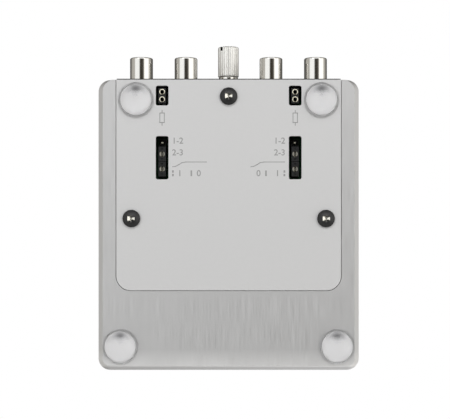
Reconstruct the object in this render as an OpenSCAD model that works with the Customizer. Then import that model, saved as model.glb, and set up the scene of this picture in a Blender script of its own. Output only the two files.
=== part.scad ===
// Small phono preamplifier in a bevelled aluminium housing.
// It stands on its feet at z = 0. The front is at -Y and the sockets face +Y.
// All lengths are in millimetres.

/* [Housing] */
// Width across the two sides
housing_w = 88; // [86:1:110]
// Depth from the front face to the rear face
housing_d = 98; // [96:1:130]
// Height of the housing above its underside
housing_h = 30; // [30:0.5:40]
// Radius of the four upright corners
corner_r = 4; // [3:0.25:6]
// Width of the bevel round the lower and upper edges
bevel = 1.6; // [0.6:0.1:2.2]
// Thickness of the side and front walls
wall_t = 3; // [2.2:0.1:3.6]
// Thickness of the roof
roof_t = 2.8; // [2:0.1:2.8]
// Thickness of the front floor and of the side lips
floor_t = 3; // [2.5:0.1:3.6]
// Width of the lip left showing on each side of the base plate
rim_w = 6.15; // [5.5:0.05:6.5]
// Depth of the closed floor in front of the base plate
front_floor_l = 27; // [22:1:34]
// Width of the ledge that the base plate and the rear panel lie against
ledge_w = 1; // [0.6:0.1:1.4]
// Thickness of the jambs behind the rear panel
jamb_t = 3; // [2:0.1:4]
// Radius of the two threaded lugs inside the side walls
lug_r = 3.6; // [3:0.1:4]
// Height of the two threaded lugs
lug_h = 6.2; // [5:0.1:6.4]
// Radius of the hole for the power light
light_hole_r = 1.6; // [1.55:0.05:1.8]

/* [Base plate] */
// Thickness of the base plate
plate_t = 1.5; // [1:0.1:2]
// Radius of the base plate's two front corners
plate_r = 4.9; // [3:0.1:7]
// Gap round the base plate and the rear panel
seam_gap = 0.2; // [0.2:0.05:0.5]
// Distance of the side screws from the plate's edges
side_screw_inset = 5.1; // [4.8:0.05:5.2]
// Distance of the side screws from the plate's front edge
side_screw_front = 24.2; // [19:0.2:27]
// Distance of the rear screw from the rear face
rear_screw_back = 5.6; // [5.2:0.1:7]

/* [Rear panel] */
// Thickness of the rear panel and of its flange
panel_t = 1.5; // [1:0.1:1.6]
// Height by which the panel stands out of the housing
panel_proud = 0.5; // [0.2:0.05:0.8]
// Width of the flange that lies on the base plate
flange_w = 16; // [12:0.5:20]
// Length of the flange from the panel's outer face
flange_l = 11; // [10.5:0.1:13]

/* [Screws] */
// Diameter of the screw heads
head_d = 5.9; // [5.4:0.1:6]
// Height of the screw heads
head_h = 1.9; // [1.4:0.1:2.4]
// Diameter of the screws' threads
thread_d = 3; // [2.5:0.1:3.2]
// Length of the case screws under their heads
case_screw_l = 6; // [5:0.25:7]
// Length of the board screws under their heads
board_screw_l = 5; // [4:0.25:6]
// Width of the cross slots in the heads
cross_w = 0.9; // [0.6:0.05:1.1]
// Span of the cross slots
cross_l = 3.2; // [2.6:0.1:3.6]
// Depth of the cross slots
cross_deep = 1.2; // [0.8:0.1:1.4]
// Radial room round a screw in a plain hole
screw_gap = 0.2; // [0.1:0.05:0.3]
// Height of the pressed nut on the rear flange
press_nut_h = 2.2; // [1.6:0.1:2.5]
// Radius of the pressed nut
press_nut_r = 3.1; // [2.6:0.1:3.4]

/* [Feet] */
// Diameter of the clear feet
foot_d = 11.75; // [10:0.25:13]
// Height of the feet
foot_h = 3.5; // [3:0.1:5]
// Height of the straight edge of a foot
foot_edge = 0.5; // [0.3:0.1:0.8]
// Depth of the small flat worn on each dome
foot_flat = 0.15; // [0.1:0.05:0.3]
// Distance of the rear feet from the plate's side edges
rear_foot_inset = 6.6; // [6.6:0.1:7.5]
// Distance of the rear feet from the rear face
rear_foot_back = 6.8; // [6.8:0.1:9]
// Distance of the front feet from the housing's sides
front_foot_inset = 7.5; // [7.5:0.1:10]
// Distance of the front feet from the front face
front_foot_front = 8.1; // [7.8:0.1:11]

/* [Phono sockets] */
// Room between the outer sockets' bodies and the side of the opening
socket_side_room = 1.3; // [0.6:0.1:2]
// Height of the sockets' axis above the board
socket_rise = 5; // [5:0.1:6]
// Reach of the barrels beyond the housing's rear face
barrel_reach = 9.3; // [8:0.1:11]
// Diameter of the barrels
barrel_d = 8; // [7.8:0.05:8.3]
// Wall of the barrels
barrel_wall = 0.7; // [0.5:0.05:0.8]
// Bevel at the barrels' outer ends
barrel_bevel = 0.4; // [0.2:0.05:0.5]
// Diameter of the barrels inside the bodies
barrel_root_d = 8.8; // [8.5:0.1:9]
// Diameter of the bodies' collars in the rear panel
socket_collar_d = 9.8; // [9.6:0.1:10.2]
// Height of the collars beyond the rear panel
socket_collar_h = 0.8; // [0.5:0.1:1.2]
// Radial room round the collars in the rear panel
socket_gap = 0.15; // [0.1:0.05:0.25]
// Width of the bodies on the board
socket_body_w = 10.4; // [10:0.1:11]
// Depth of the bodies on the board
socket_body_l = 10; // [9:0.25:11]
// Bore of the centre contacts
contact_bore_d = 3.2; // [3.1:0.05:3.3]
// Wall of the centre contacts
contact_wall = 0.6; // [0.4:0.05:0.7]
// Depth of the centre contacts below the barrels' ends
contact_recess = 0.8; // [0.5:0.1:1.2]

/* [Ground terminal] */
// Room between the terminal's lock nut and the ceiling
ground_roof_gap = 0.2; // [0.1:0.1:1]
// Diameter of the threaded post
post_d = 4; // [3.5:0.1:4]
// Diameter of the fixed collar on the panel
post_collar_d = 7; // [6.4:0.1:7.2]
// Height of the fixed collar
post_collar_h = 2; // [1.5:0.1:2.5]
// Diameter of the clamping ring
ring_d = 6.9; // [6.2:0.1:7.2]
// Thickness of the clamping ring
ring_h = 1.1; // [0.8:0.1:1.5]
// Diameter of the fluted nut
nut_d = 7.45; // [7:0.05:7.6]
// Number of flutes
flute_count = 22; // [16:1:26]
// Radius of the flutes
flute_r = 0.42; // [0.3:0.02:0.46]
// Depth of the flutes
flute_deep = 0.2; // [0.1:0.02:0.3]
// Bevel at the nut's two ends
nut_bevel = 0.35; // [0.3:0.05:0.5]
// Width of the slot across the nut's end
nut_slot_w = 0.9; // [0.6:0.05:1.2]
// Depth of the slot across the nut's end
nut_slot_deep = 1.5; // [1:0.1:1.6]
// Angle of the slot from the upright
nut_slot_turn = 41; // [0:1:90]
// Radial room between the post and the parts that run on it
thread_gap = 0.06; // [0.03:0.01:0.1]
// Distance that the nut backs off
nut_travel = 3.5; // [2.5:0.1:4]
// Length of thread that stays in the nut when it is backed off
thread_hold = 4; // [3:0.1:5]

/* [Power socket] */
// Width of the power socket's body
jack_w = 9; // [8.4:0.1:9.4]
// Length of the power socket's body
jack_l = 14; // [12:0.25:15]
// Height of the power socket's body
jack_h = 9; // [8.6:0.1:9.1]
// Diameter of the opening for the plug
jack_bore_d = 6.3; // [6:0.1:6.5]
// Depth of the opening for the plug
jack_deep = 9.5; // [8.5:0.1:10.5]
// Diameter of the centre pin
jack_pin_d = 2; // [1.6:0.1:2.5]
// Depth of the centre pin's tip behind the panel's outer face
jack_pin_recess = 2.4; // [2:0.1:3]
// Radius of the opening in the rear panel
jack_window_r = 3.7; // [3.4:0.05:3.9]
// Thickness of the side contact in the power socket
jack_spring_t = 0.3; // [0.2:0.05:0.4]

/* [Circuit board] */
// Thickness of the circuit board
board_t = 1.6; // [1.2:0.1:1.6]
// Room between the board's sides and the housing's ledges
board_side_gap = 0.6; // [0.4:0.1:1]
// Room between the board and the rear panel
board_rear_gap = 1; // [0.5:0.1:1.5]
// Room between the board and the front wall
board_front_gap = 2.6; // [2.4:0.1:4]
// Length of the standoffs between base plate and board
standoff_h = 7; // [6.9:0.1:7.4]
// Diameter of the standoffs
standoff_d = 6; // [5:0.1:6.5]
// Distance of the standoffs from the board's sides
standoff_inset = 5.4; // [5.2:0.1:6.4]
// Distance of the rear standoffs from the rear face
standoff_back = 15.4; // [15:0.1:17]
// Distance of the front standoffs from the base plate's front edge
standoff_front = 7.6; // [6.6:0.1:11.6]

/* [Selectors] */
// Pitch of the pins
pin_pitch = 2.54; // [2.5:0.01:2.6]
// Width of the square pins
pin_w = 0.64; // [0.5:0.02:0.7]
// Number of pins in a row
pin_count = 5; // [5:1:5]
// Room between the windows and the rear feet
window_foot_gap = 0.8; // [0.2:0.1:0.9]
// Distance of the middle pins from the rear face
selector_back = 26.3; // [25.5:0.1:27]
// Width of the windows in the base plate
window_w = 4.3; // [3.8:0.05:4.6]
// Length of the selector windows
selector_window_l = 14.6; // [13.8:0.1:15]
// Radius of the windows' corners
window_r = 0.7; // [0.3:0.05:0.9]
// Height of the pin rows' plastic strip
header_h = 2.5; // [2:0.1:2.6]
// Width of the pin rows' plastic strip
header_w = 2.5; // [2.3:0.05:2.54]
// Length of the free pins below the strip
pin_reach = 4.7; // [4:0.1:5.2]
// Length of the pins above the board
pin_tail = 1.3; // [1:0.1:1.6]
// Width of the plug-on caps
cap_w = 2.44; // [2.3:0.02:2.6]
// Room between neighbouring caps
cap_gap = 0.14; // [0.1:0.02:0.2]
// Thickness of a cap's closed end
cap_end_t = 0.7; // [0.5:0.05:0.8]
// Thickness of the sheet in a cap's spring clip
clip_t = 0.16; // [0.12:0.02:0.2]
// Room between a clip and a pin
clip_gap = 0.02; // [0.01:0.01:0.03]

/* [Load sockets] */
// Distance of the load sockets' middle from the rear face
load_back = 5.36; // [5.2:0.02:5.6]
// Length of the load windows
load_window_l = 6.7; // [6.2:0.1:6.8]
// Depth of the load sockets' face inside the plate's outer face
load_recess = 0.5; // [0.3:0.05:0.8]
// Outer diameter of a turned contact's ring
load_ring_d = 1.94; // [1.7:0.02:2.1]
// Height of a turned contact's ring above the socket's face
load_ring_h = 0.15; // [0.1:0.05:0.2]
// Bore of a turned contact
load_bore_d = 0.8; // [0.7:0.05:1]
// Depth of a turned contact's bore
load_bore_deep = 3.5; // [3:0.1:4]
// Outer diameter of a turned contact's body
load_body_d = 1.5; // [1.4:0.05:1.6]

/* [Components] */
// Diameter of the power light's lens
light_d = 3; // [2.8:0.05:3]
// Reach of the power light's lens behind the front face
light_recess = 0.2; // [0.1:0.1:0.6]
// Height of the power light's axis above the board
light_rise = 3; // [2.6:0.1:4]
// Diameter of the large capacitors
can_d = 8; // [6.3:0.1:8.4]
// Height of the large capacitors
can_h = 11.5; // [9:0.5:13]
// Length of the film capacitors
film_l = 7.2; // [6.4:0.2:7.6]
// Thickness of the film capacitors
film_w = 2.5; // [2:0.1:3]
// Height of the film capacitors
film_h = 6.5; // [5:0.5:8]
// Length of the amplifier chips
chip_l = 9.4; // [9:0.2:10]
// Width of the amplifier chips' bodies
chip_w = 6.4; // [6:0.1:6.6]
// Height of the amplifier chips' bodies
chip_h = 3.3; // [3:0.1:3.6]
// Length of the resistors' bodies
resistor_l = 3.6; // [3:0.2:4.4]
// Diameter of the resistors' bodies
resistor_d = 1.8; // [1.4:0.1:2]

/* [Quality] */
// Number of facets on large curves
curve_fn = 64; // [32:8:128]

/* [Hidden] */

$fn = curve_fn;
left = -1;
right = 1;
hex_sides = 6;
overrun = 1;                       // by which cutting shapes run past a face
skin = 0.01;                       // height of the thin slices that a hull joins

// Overall frame: the part is centred over its own footprint and stands at zero.
nut_end_room = 0.8;                // between the post's end and the nut's closed end
nut_web_t = 1;                     // between the slot and the nut's thread
nut_floor_t = nut_slot_deep + nut_web_t;
nut_l = nut_travel + thread_hold + nut_end_room + nut_floor_t;
ground_reach = panel_proud + post_collar_h + ring_h + nut_l;
front_y = -(housing_d + ground_reach) / 2;
rear_y = front_y + housing_d;
under_z = foot_h;
top_z = under_z + housing_h;
ceiling_z = top_z - roof_t;

// Base plate, which is flush with the housing's underside
plate_w = housing_w - 2 * rim_w;
plate_front_y = front_y + front_floor_l;
plate_l = rear_y - plate_front_y;
plate_top_z = under_z + plate_t;
side_screw_x = plate_w / 2 - side_screw_inset;
side_screw_y = plate_front_y + side_screw_front;
rear_screw_y = rear_y - rear_screw_back;

// Feet
rear_foot_x = plate_w / 2 - rear_foot_inset;
rear_foot_y = rear_y - rear_foot_back;
front_foot_x = housing_w / 2 - front_foot_inset;
front_foot_y = front_y + front_foot_front;

// Rear panel
panel_out_y = rear_y + panel_proud;
panel_in_y = panel_out_y - panel_t;
panel_cover = 0.7;                 // by which the panel reaches above the ceiling
panel_top_z = ceiling_z + panel_cover;

// Screws
thread_r = thread_d / 2;
tapped_gap = 0.02;                 // between a thread and its tapped hole
tapped_r = thread_r + tapped_gap;
clear_r = thread_r + screw_gap;

// Circuit board, carried on the standoffs
board_z = plate_top_z + standoff_h;
board_top_z = board_z + board_t;
opening_w = plate_w + 2 * seam_gap - 2 * ledge_w;
board_w = opening_w - 2 * board_side_gap;
board_rear_y = panel_in_y - board_rear_gap;
board_front_y = front_y + wall_t + board_front_gap;
standoff_x = board_w / 2 - standoff_inset;
standoff_ys = [rear_y - standoff_back, plate_front_y + standoff_front];
lead_r = 0.3;                      // radius of the components' leads

// Sockets
socket_z = board_top_z + socket_rise;
socket_collar_y = panel_out_y + socket_collar_h;
socket_back_y = panel_in_y - socket_body_l;
socket_floor_t = 3;                // thickness of a socket body behind its barrel
barrel_root_y = socket_back_y + socket_floor_t;
barrel_end_y = rear_y + barrel_reach;
contact_r = contact_bore_d / 2;
contact_out_r = contact_r + contact_wall;
contact_floor_t = 0.6;             // closed end of a centre contact
contact_end_y = barrel_end_y - contact_recess;
outer_socket_x = opening_w / 2 - socket_side_room - socket_body_w / 2;
inner_socket_x = (outer_socket_x + jack_w / 2 - socket_body_w / 2) / 2;
socket_xs = [inner_socket_x, outer_socket_x];

// Ground terminal
post_collar_y = panel_out_y + post_collar_h;
ring_end_y = post_collar_y + ring_h;
lug_t = 0.8;                       // thickness of the soldering lug
lug_eye_r = 3.2;                   // radius of the soldering lug's eye
lug_tongue_l = 8;                  // reach of its tongue from the post's axis
lug_tongue_w = 2.8;
lug_wire_r = 0.7;                  // radius of the hole for the wire
lock_nut_t = 2.4;                  // thickness of the lock nut inside
lock_nut_flats = 7;                // width of the lock nut over its flats
post_z = ceiling_z - ground_roof_gap - lock_nut_flats / 2;
post_tail = 0.9;                   // length of the post behind its lock nut
post_inside = lug_t + lock_nut_t + post_tail;

// Power socket
jack_z = board_top_z + jack_h / 2;
jack_floor_y = panel_in_y - jack_deep;
jack_root_step = 0.3;              // shoulder by which the pin's riveted root is thinner
jack_root_r = jack_pin_d / 2 - jack_root_step;
jack_spring_w = 2.1;               // height of the side contact
jack_spring_back = 2.4;            // distance of its end from the panel's inner face

// Selectors
strip_z = board_z - header_h;
pin_tip_z = strip_z - pin_reach;
pin_top_z = board_top_z + pin_tail;
selector_x = rear_foot_x - foot_d / 2 - window_foot_gap - window_w / 2;
selector_y = rear_y - selector_back;
pin_row_l = (pin_count - 1) * pin_pitch;
pin_ys = [for (i = [0 : pin_count - 1]) selector_y + pin_row_l / 2 - i * pin_pitch];
pin_hole_gap = 0.06;               // between a pin's corners and its hole in the board
mode_cap_y = (pin_ys[1] + pin_ys[2]) / 2;
filter_cap_y = (pin_ys[3] + pin_ys[4]) / 2;
cap_seat_gap = 0.1;                // between a cap and the strip
tip_room = 0.14;                   // between a pin's tip and a cap's clip
cap_h = pin_reach - cap_seat_gap + tip_room + clip_t + cap_end_t;
cap_top_z = strip_z - cap_seat_gap;
cap_l = 2 * pin_pitch - cap_gap;
clip_out_w = pin_w + 2 * clip_gap + 2 * clip_t;
clip_wall_gap = 0.03;              // between a clip and its cap
clip_l = pin_pitch + pin_w + 2 * clip_t;

// Load sockets
load_y = rear_y - load_back;
load_face_z = under_z + load_recess;

// Small sizes of the components
light_flange_h = 1;                // height of the rim at the power light's root
light_l = 4.5;                     // length of its lens behind the round tip
chip_rise = 0.5;                   // height of the chips' bodies above the board
chip_leg_w = 0.5;
chip_leg_t = 0.25;
chip_mark_r = 0.8;                 // radius of the half round notch in a chip's end
film_r = 0.5;                      // radius of the film capacitors' upright edges
film_rise = 0.4;                   // height of their bodies above the board
resistor_cap_step = 0.15;          // by which a resistor's two ends are thicker
resistor_cap_l = 1.1;              // length of its thicker ends
can_groove_r = 0.4;                // radius of the bead rolled into a large capacitor
can_groove_z = 1.2;
regulator_w = 8.8;
regulator_t = 4;
regulator_h = 8.6;
regulator_leg_h = 1.9;
tab_t = 1.3;
tab_h = 12.5;                      // height of the regulator's cooling tab over its legs
tab_hole_r = 1.5;
tab_hole_z = 10.5;

// Places of the components. Across the board, their rooms share what is left of its half width.
resistor_span = resistor_l + resistor_d + 2 * lead_r;
chip_span = chip_w + 2 * chip_leg_t;
free_w = board_w / 2 - resistor_span - chip_span - film_l;
resistor_room_share = 0.42;        // share of the free width between the middle and the resistors
chip_room_share = 0.08;            // and between the resistors and the chips
film_room_share = 0.18;            // and between the chips and the film capacitors
resistor_x = resistor_room_share * free_w + resistor_span / 2;
chip_x = resistor_x + resistor_span / 2 + chip_room_share * free_w + chip_span / 2;
film_x = chip_x + chip_span / 2 + film_room_share * free_w + film_l / 2;
film_step = 4.1;
resistor_step = 3;
pin_room = 0.65;                   // between the pins' ends and the film capacitors
group_back = selector_back + pin_row_l / 2 + pin_w / 2 + pin_room + film_w / 2 + film_step;
can_gap = 2.6;                     // between the large capacitors and the middle
can_row_gap = 2.4;                 // between their two rows
can_room = 9;                      // between the chips and the large capacitors
can_x = can_gap + can_d / 2;
can_step = can_d + can_row_gap;
can_back = group_back + chip_l / 2 + can_room + can_d / 2;
regulator_room = 4;                // between the regulator and the row of chips
regulator_back = group_back - chip_l / 2 - regulator_room;

// Rounded rectangle from true arcs, centred on the origin
module rounded_rect(w, d, r) {
    square([w - 2 * r, d], center = true);
    square([w, d - 2 * r], center = true);
    for (sx = [left, right], sy = [left, right])
        translate([sx * (w / 2 - r), sy * (d / 2 - r)]) circle(r);
}

// Plate outline with two rounded corners in front and its rear edge on y = 0
module tongue(w, l, r) {
    translate([-w / 2, -l + r]) square([w, l - r]);
    translate([-w / 2 + r, -l]) square([w - 2 * r, l]);
    for (sx = [left, right])
        translate([sx * (w / 2 - r), -l + r]) circle(r);
}

// Cylinder along +Y from y0 to y1
module rod_y(r, y0, y1, x = 0, z = 0) {
    translate([x, y0, z]) rotate([-90, 0, 0]) cylinder(r = r, h = y1 - y0);
}

// Block given by its two opposite corners
module block(low, high) {
    translate(low) cube(high - low);
}

// Bevelled end of the housing, from z = 0 up to the full outline at z = bevel.
// The front and the sides are bevelled, and the rear corners lean in sideways only.
module bevel_band() {
    half_w = housing_w / 2;
    core_w = housing_w - 2 * corner_r;
    core_d = housing_d - 2 * corner_r;
    side_profile = [
        [-half_w + bevel, 0], [half_w - bevel, 0], [half_w, bevel], [-half_w, bevel]
    ];
    translate([0, rear_y - corner_r, 0]) rotate([90, 0, 0])
        linear_extrude(core_d) polygon(side_profile);
    front_profile = [
        [front_y + bevel, 0], [rear_y - corner_r, 0], [rear_y - corner_r, bevel], [front_y, bevel]
    ];
    translate([-core_w / 2, 0, 0]) rotate([90, 0, 90])
        linear_extrude(core_w) polygon(front_profile);
    for (sx = [left, right])
        translate([sx * core_w / 2, front_y + corner_r, 0])
            cylinder(r1 = corner_r - bevel, r2 = corner_r, h = bevel);
    hull() for (sx = [left, right]) {
        translate([sx * (core_w / 2 - bevel), rear_y - corner_r, 0]) cylinder(r = corner_r, h = skin);
        translate([sx * core_w / 2, rear_y - corner_r, bevel - skin]) cylinder(r = corner_r, h = skin);
    }
}

// Outer form of the housing
module housing_form() {
    mid_y = (front_y + rear_y) / 2;
    translate([0, 0, under_z]) bevel_band();
    translate([0, 0, top_z]) mirror([0, 0, 1]) bevel_band();
    translate([0, mid_y, under_z + bevel])
        linear_extrude(housing_h - 2 * bevel) rounded_rect(housing_w, housing_d, corner_r);
}

// Hollow inside the walls, above the floor and below the roof
module housing_hollow() {
    hollow_w = housing_w - 2 * wall_t;
    hollow_front_y = front_y + wall_t;
    hollow_rear_y = panel_in_y - jamb_t;
    hollow_r = corner_r - wall_t / 2;
    translate([0, (hollow_front_y + hollow_rear_y) / 2, under_z + floor_t])
        linear_extrude(ceiling_z - under_z - floor_t)
            rounded_rect(hollow_w, hollow_rear_y - hollow_front_y, hollow_r);
}

module housing() {
    lug_x = side_screw_x;
    seat_w = plate_w + 2 * seam_gap;
    color([0.75, 0.75, 0.76]) difference() {
        union() {
            difference() {
                housing_form();
                housing_hollow();
                // recess for the base plate, and the smaller opening above its ledge
                translate([0, rear_y, under_z - overrun])
                    linear_extrude(plate_t + overrun)
                        tongue(seat_w, plate_l + seam_gap, plate_r + seam_gap);
                translate([0, rear_y, under_z])
                    linear_extrude(floor_t + overrun)
                        tongue(opening_w, plate_l + seam_gap - ledge_w, plate_r + seam_gap - ledge_w);
                // recess for the rear panel, and the opening between the jambs
                block([-seat_w / 2, panel_in_y, under_z - overrun],
                    [seat_w / 2, rear_y + overrun, panel_top_z + seam_gap]);
                block([-opening_w / 2, panel_in_y - jamb_t - overrun, under_z],
                    [opening_w / 2, rear_y, ceiling_z]);
            }
            // threaded lugs that stand on the side lips
            for (sx = [left, right]) {
                translate([sx * lug_x, side_screw_y, plate_top_z]) cylinder(r = lug_r, h = lug_h);
                wall_x = sx * (housing_w / 2 - wall_t / 2);
                block([min(sx * lug_x, wall_x), side_screw_y - lug_r, plate_top_z],
                    [max(sx * lug_x, wall_x), side_screw_y + lug_r, plate_top_z + lug_h]);
            }
        }
        for (sx = [left, right])
            translate([sx * lug_x, side_screw_y, under_z])
                cylinder(r = tapped_r, h = plate_t + lug_h + overrun);
        rod_y(light_hole_r, front_y - overrun, front_y + wall_t + overrun,
            0, board_top_z + light_rise);
    }
}

// Round-cornered window through the base plate
module plate_window(x, y, w, l) {
    translate([x, y, under_z - overrun])
        linear_extrude(plate_t + 2 * overrun) rounded_rect(w, l, window_r);
}

module base_plate() {
    color([0.8, 0.8, 0.81]) difference() {
        translate([0, rear_y, under_z]) linear_extrude(plate_t) tongue(plate_w, plate_l, plate_r);
        for (sx = [left, right]) {
            plate_window(sx * selector_x, selector_y, window_w, selector_window_l);
            plate_window(sx * selector_x, load_y, window_w, load_window_l);
            translate([sx * side_screw_x, side_screw_y, under_z - overrun])
                cylinder(r = clear_r, h = plate_t + 2 * overrun);
        }
        translate([0, rear_screw_y, under_z - overrun])
            cylinder(r = clear_r, h = plate_t + 2 * overrun);
    }
}

module rear_panel() {
    color([0.1, 0.1, 0.11]) difference() {
        union() {
            block([-plate_w / 2, panel_in_y, plate_top_z], [plate_w / 2, panel_out_y, panel_top_z]);
            block([-flange_w / 2, panel_out_y - flange_l, plate_top_z],
                [flange_w / 2, panel_out_y, plate_top_z + panel_t]);
        }
        for (x = socket_xs, sx = [left, right])
            rod_y(socket_collar_d / 2 + socket_gap, panel_in_y - overrun, panel_out_y + overrun,
                sx * x, socket_z);
        rod_y(jack_window_r, panel_in_y - overrun, panel_out_y + overrun, 0, jack_z);
        rod_y(post_d / 2 + screw_gap, panel_in_y - overrun, panel_out_y + overrun, 0, post_z);
        translate([0, rear_screw_y, plate_top_z - overrun])
            cylinder(r = clear_r, h = panel_t + 2 * overrun);
    }
}

// Screw with a low domed head and a cross slot. Its head lies below z = 0 and its thread above.
module cross_screw(length) {
    head_r = head_d / 2;
    rim_h = head_h / 3;
    dome_r = (head_r * head_r + (head_h - rim_h) * (head_h - rim_h)) / (2 * (head_h - rim_h));
    difference() {
        union() {
            rotate_extrude() {
                translate([0, -rim_h]) square([head_r, rim_h]);
                intersection() {
                    translate([0, dome_r - head_h]) circle(dome_r);
                    translate([0, -head_h]) square([head_r, head_h - rim_h]);
                }
            }
            cylinder(r = thread_r, h = length);
        }
        for (turn = [0, 90])
            rotate([0, 0, turn + 45])
                block([-cross_l / 2, -cross_w / 2, -head_h - overrun],
                    [cross_l / 2, cross_w / 2, cross_deep - head_h]);
    }
}

module case_screws() {
    color([0.12, 0.12, 0.13]) {
        for (sx = [left, right])
            translate([sx * side_screw_x, side_screw_y, under_z]) cross_screw(case_screw_l);
        translate([0, rear_screw_y, under_z]) cross_screw(case_screw_l);
    }
}

module press_nut() {
    color([0.7, 0.7, 0.68])
        translate([0, rear_screw_y, plate_top_z + panel_t]) difference() {
            cylinder(r = press_nut_r, h = press_nut_h);
            translate([0, 0, -overrun]) cylinder(r = tapped_r, h = press_nut_h + 2 * overrun);
        }
}

// Clear dome, flat where it is stuck on and a little flat where it stands
module foot(x, y) {
    r = foot_d / 2;
    dome_h = foot_h - foot_edge + foot_flat;
    dome_r = (r * r + dome_h * dome_h) / (2 * dome_h);
    color([0.85, 0.87, 0.9, 0.6]) translate([x, y, 0]) rotate_extrude() {
        translate([0, foot_h - foot_edge]) square([r, foot_edge]);
        intersection() {
            translate([0, dome_r - foot_flat]) circle(dome_r);
            square([r, foot_h - foot_edge]);
        }
    }
}

module rear_left_foot() { foot(left * rear_foot_x, rear_foot_y); }
module rear_right_foot() { foot(right * rear_foot_x, rear_foot_y); }
module front_left_foot() { foot(left * front_foot_x, front_foot_y); }
module front_right_foot() { foot(right * front_foot_x, front_foot_y); }

// Places of the four standoffs
module at_standoffs() {
    for (sx = [left, right], y = standoff_ys)
        translate([sx * standoff_x, y, 0]) children();
}

module circuit_board() {
    color([0.1, 0.35, 0.2]) difference() {
        block([-board_w / 2, board_front_y, board_z], [board_w / 2, board_rear_y, board_top_z]);
        at_standoffs() translate([0, 0, board_z - overrun])
            cylinder(r = clear_r, h = board_t + 2 * overrun);
        for (sx = [left, right], y = pin_ys)
            translate([sx * selector_x, y, board_z - overrun])
                cylinder(r = pin_w / sqrt(2) + pin_hole_gap, h = board_t + 2 * overrun);
    }
}

module board_standoffs() {
    color([0.72, 0.7, 0.6]) at_standoffs() translate([0, 0, plate_top_z]) difference() {
        cylinder(r = standoff_d / 2, h = standoff_h);
        translate([0, 0, standoff_h - board_screw_l])
            cylinder(r = tapped_r, h = board_screw_l + overrun);
    }
}

module board_screws() {
    color([0.75, 0.75, 0.76]) at_standoffs()
        translate([0, 0, board_top_z]) mirror([0, 0, 1]) cross_screw(board_screw_l);
}

// One phono socket in four pieces
module socket_barrel(x) {
    r = barrel_d / 2;
    color([0.8, 0.8, 0.8]) translate([x, 0, socket_z]) difference() {
        union() {
            rod_y(barrel_root_d / 2, barrel_root_y, socket_collar_y);
            rod_y(r, socket_collar_y, barrel_end_y - barrel_bevel);
            translate([0, barrel_end_y - barrel_bevel, 0]) rotate([-90, 0, 0])
                cylinder(r1 = r, r2 = r - barrel_bevel, h = barrel_bevel);
        }
        rod_y(r - barrel_wall, barrel_root_y - overrun, barrel_end_y + overrun);
    }
}

module socket_insulator(x) {
    color([0.92, 0.92, 0.9]) translate([x, 0, socket_z]) difference() {
        rod_y(barrel_d / 2 - barrel_wall, barrel_root_y, contact_end_y);
        rod_y(contact_out_r, barrel_root_y - overrun, contact_end_y + overrun);
    }
}

module socket_contact(x) {
    color([0.85, 0.75, 0.45]) translate([x, 0, socket_z]) difference() {
        rod_y(contact_out_r, barrel_root_y, contact_end_y);
        rod_y(contact_r, barrel_root_y + contact_floor_t, contact_end_y + overrun);
    }
}

module socket_body(x, tint) {
    half_w = socket_body_w / 2;
    color(tint) difference() {
        union() {
            block([x - half_w, socket_back_y, board_top_z],
                [x + half_w, panel_in_y, socket_z + half_w]);
            rod_y(socket_collar_d / 2, panel_in_y, socket_collar_y, x, socket_z);
        }
        rod_y(barrel_root_d / 2, barrel_root_y, socket_collar_y + overrun, x, socket_z);
    }
}

white_tint = [0.9, 0.9, 0.88];
red_tint = [0.7, 0.1, 0.1];
module left_input_barrel() { socket_barrel(socket_xs[1]); }
module left_input_insulator() { socket_insulator(socket_xs[1]); }
module left_input_contact() { socket_contact(socket_xs[1]); }
module left_input_body() { socket_body(socket_xs[1], white_tint); }
module right_input_barrel() { socket_barrel(socket_xs[0]); }
module right_input_insulator() { socket_insulator(socket_xs[0]); }
module right_input_contact() { socket_contact(socket_xs[0]); }
module right_input_body() { socket_body(socket_xs[0], red_tint); }
module left_output_barrel() { socket_barrel(-socket_xs[0]); }
module left_output_insulator() { socket_insulator(-socket_xs[0]); }
module left_output_contact() { socket_contact(-socket_xs[0]); }
module left_output_body() { socket_body(-socket_xs[0], white_tint); }
module right_output_barrel() { socket_barrel(-socket_xs[1]); }
module right_output_insulator() { socket_insulator(-socket_xs[1]); }
module right_output_contact() { socket_contact(-socket_xs[1]); }
module right_output_body() { socket_body(-socket_xs[1], red_tint); }

// Threaded post with its fixed collar on the panel
module ground_post() {
    color([0.8, 0.79, 0.75]) {
        rod_y(post_d / 2, panel_in_y - post_inside, ring_end_y + nut_travel + thread_hold,
            0, post_z);
        rod_y(post_collar_d / 2, panel_out_y, post_collar_y, 0, post_z);
    }
}

// Ring with bevelled edges that presses on the earth lead
module ground_ring() {
    r = ring_d / 2;
    edge = ring_h / 4;
    bore_r = post_d / 2 + thread_gap;
    color([0.8, 0.79, 0.75]) translate([0, post_collar_y, post_z]) rotate([-90, 0, 0])
        rotate_extrude() polygon([
            [bore_r, 0], [r - edge, 0], [r, edge], [r, ring_h - edge], [r - edge, ring_h],
            [bore_r, ring_h]
        ]);
}

// Fluted nut with a closed, slotted end
module ground_nut() {
    r = nut_d / 2;
    color([0.85, 0.84, 0.8]) translate([0, ring_end_y, post_z]) rotate([-90, 0, 0]) difference() {
        union() {
            cylinder(r1 = r - nut_bevel, r2 = r, h = nut_bevel);
            translate([0, 0, nut_bevel]) cylinder(r = r, h = nut_l - 2 * nut_bevel);
            translate([0, 0, nut_l - nut_bevel]) cylinder(r1 = r, r2 = r - nut_bevel, h = nut_bevel);
        }
        for (i = [0 : flute_count - 1])
            rotate([0, 0, i * 360 / flute_count - nut_slot_turn])
                translate([0, r + flute_r - flute_deep, -overrun])
                    cylinder(r = flute_r, h = nut_l + 2 * overrun, $fn = 24);
        translate([0, 0, -overrun])
            cylinder(r = post_d / 2 + thread_gap, h = nut_l - nut_floor_t + overrun);
        rotate([0, 0, -nut_slot_turn])
            block([-nut_slot_w / 2, -nut_d, nut_l - nut_slot_deep],
                [nut_slot_w / 2, nut_d, nut_l + overrun]);
    }
}

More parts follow.
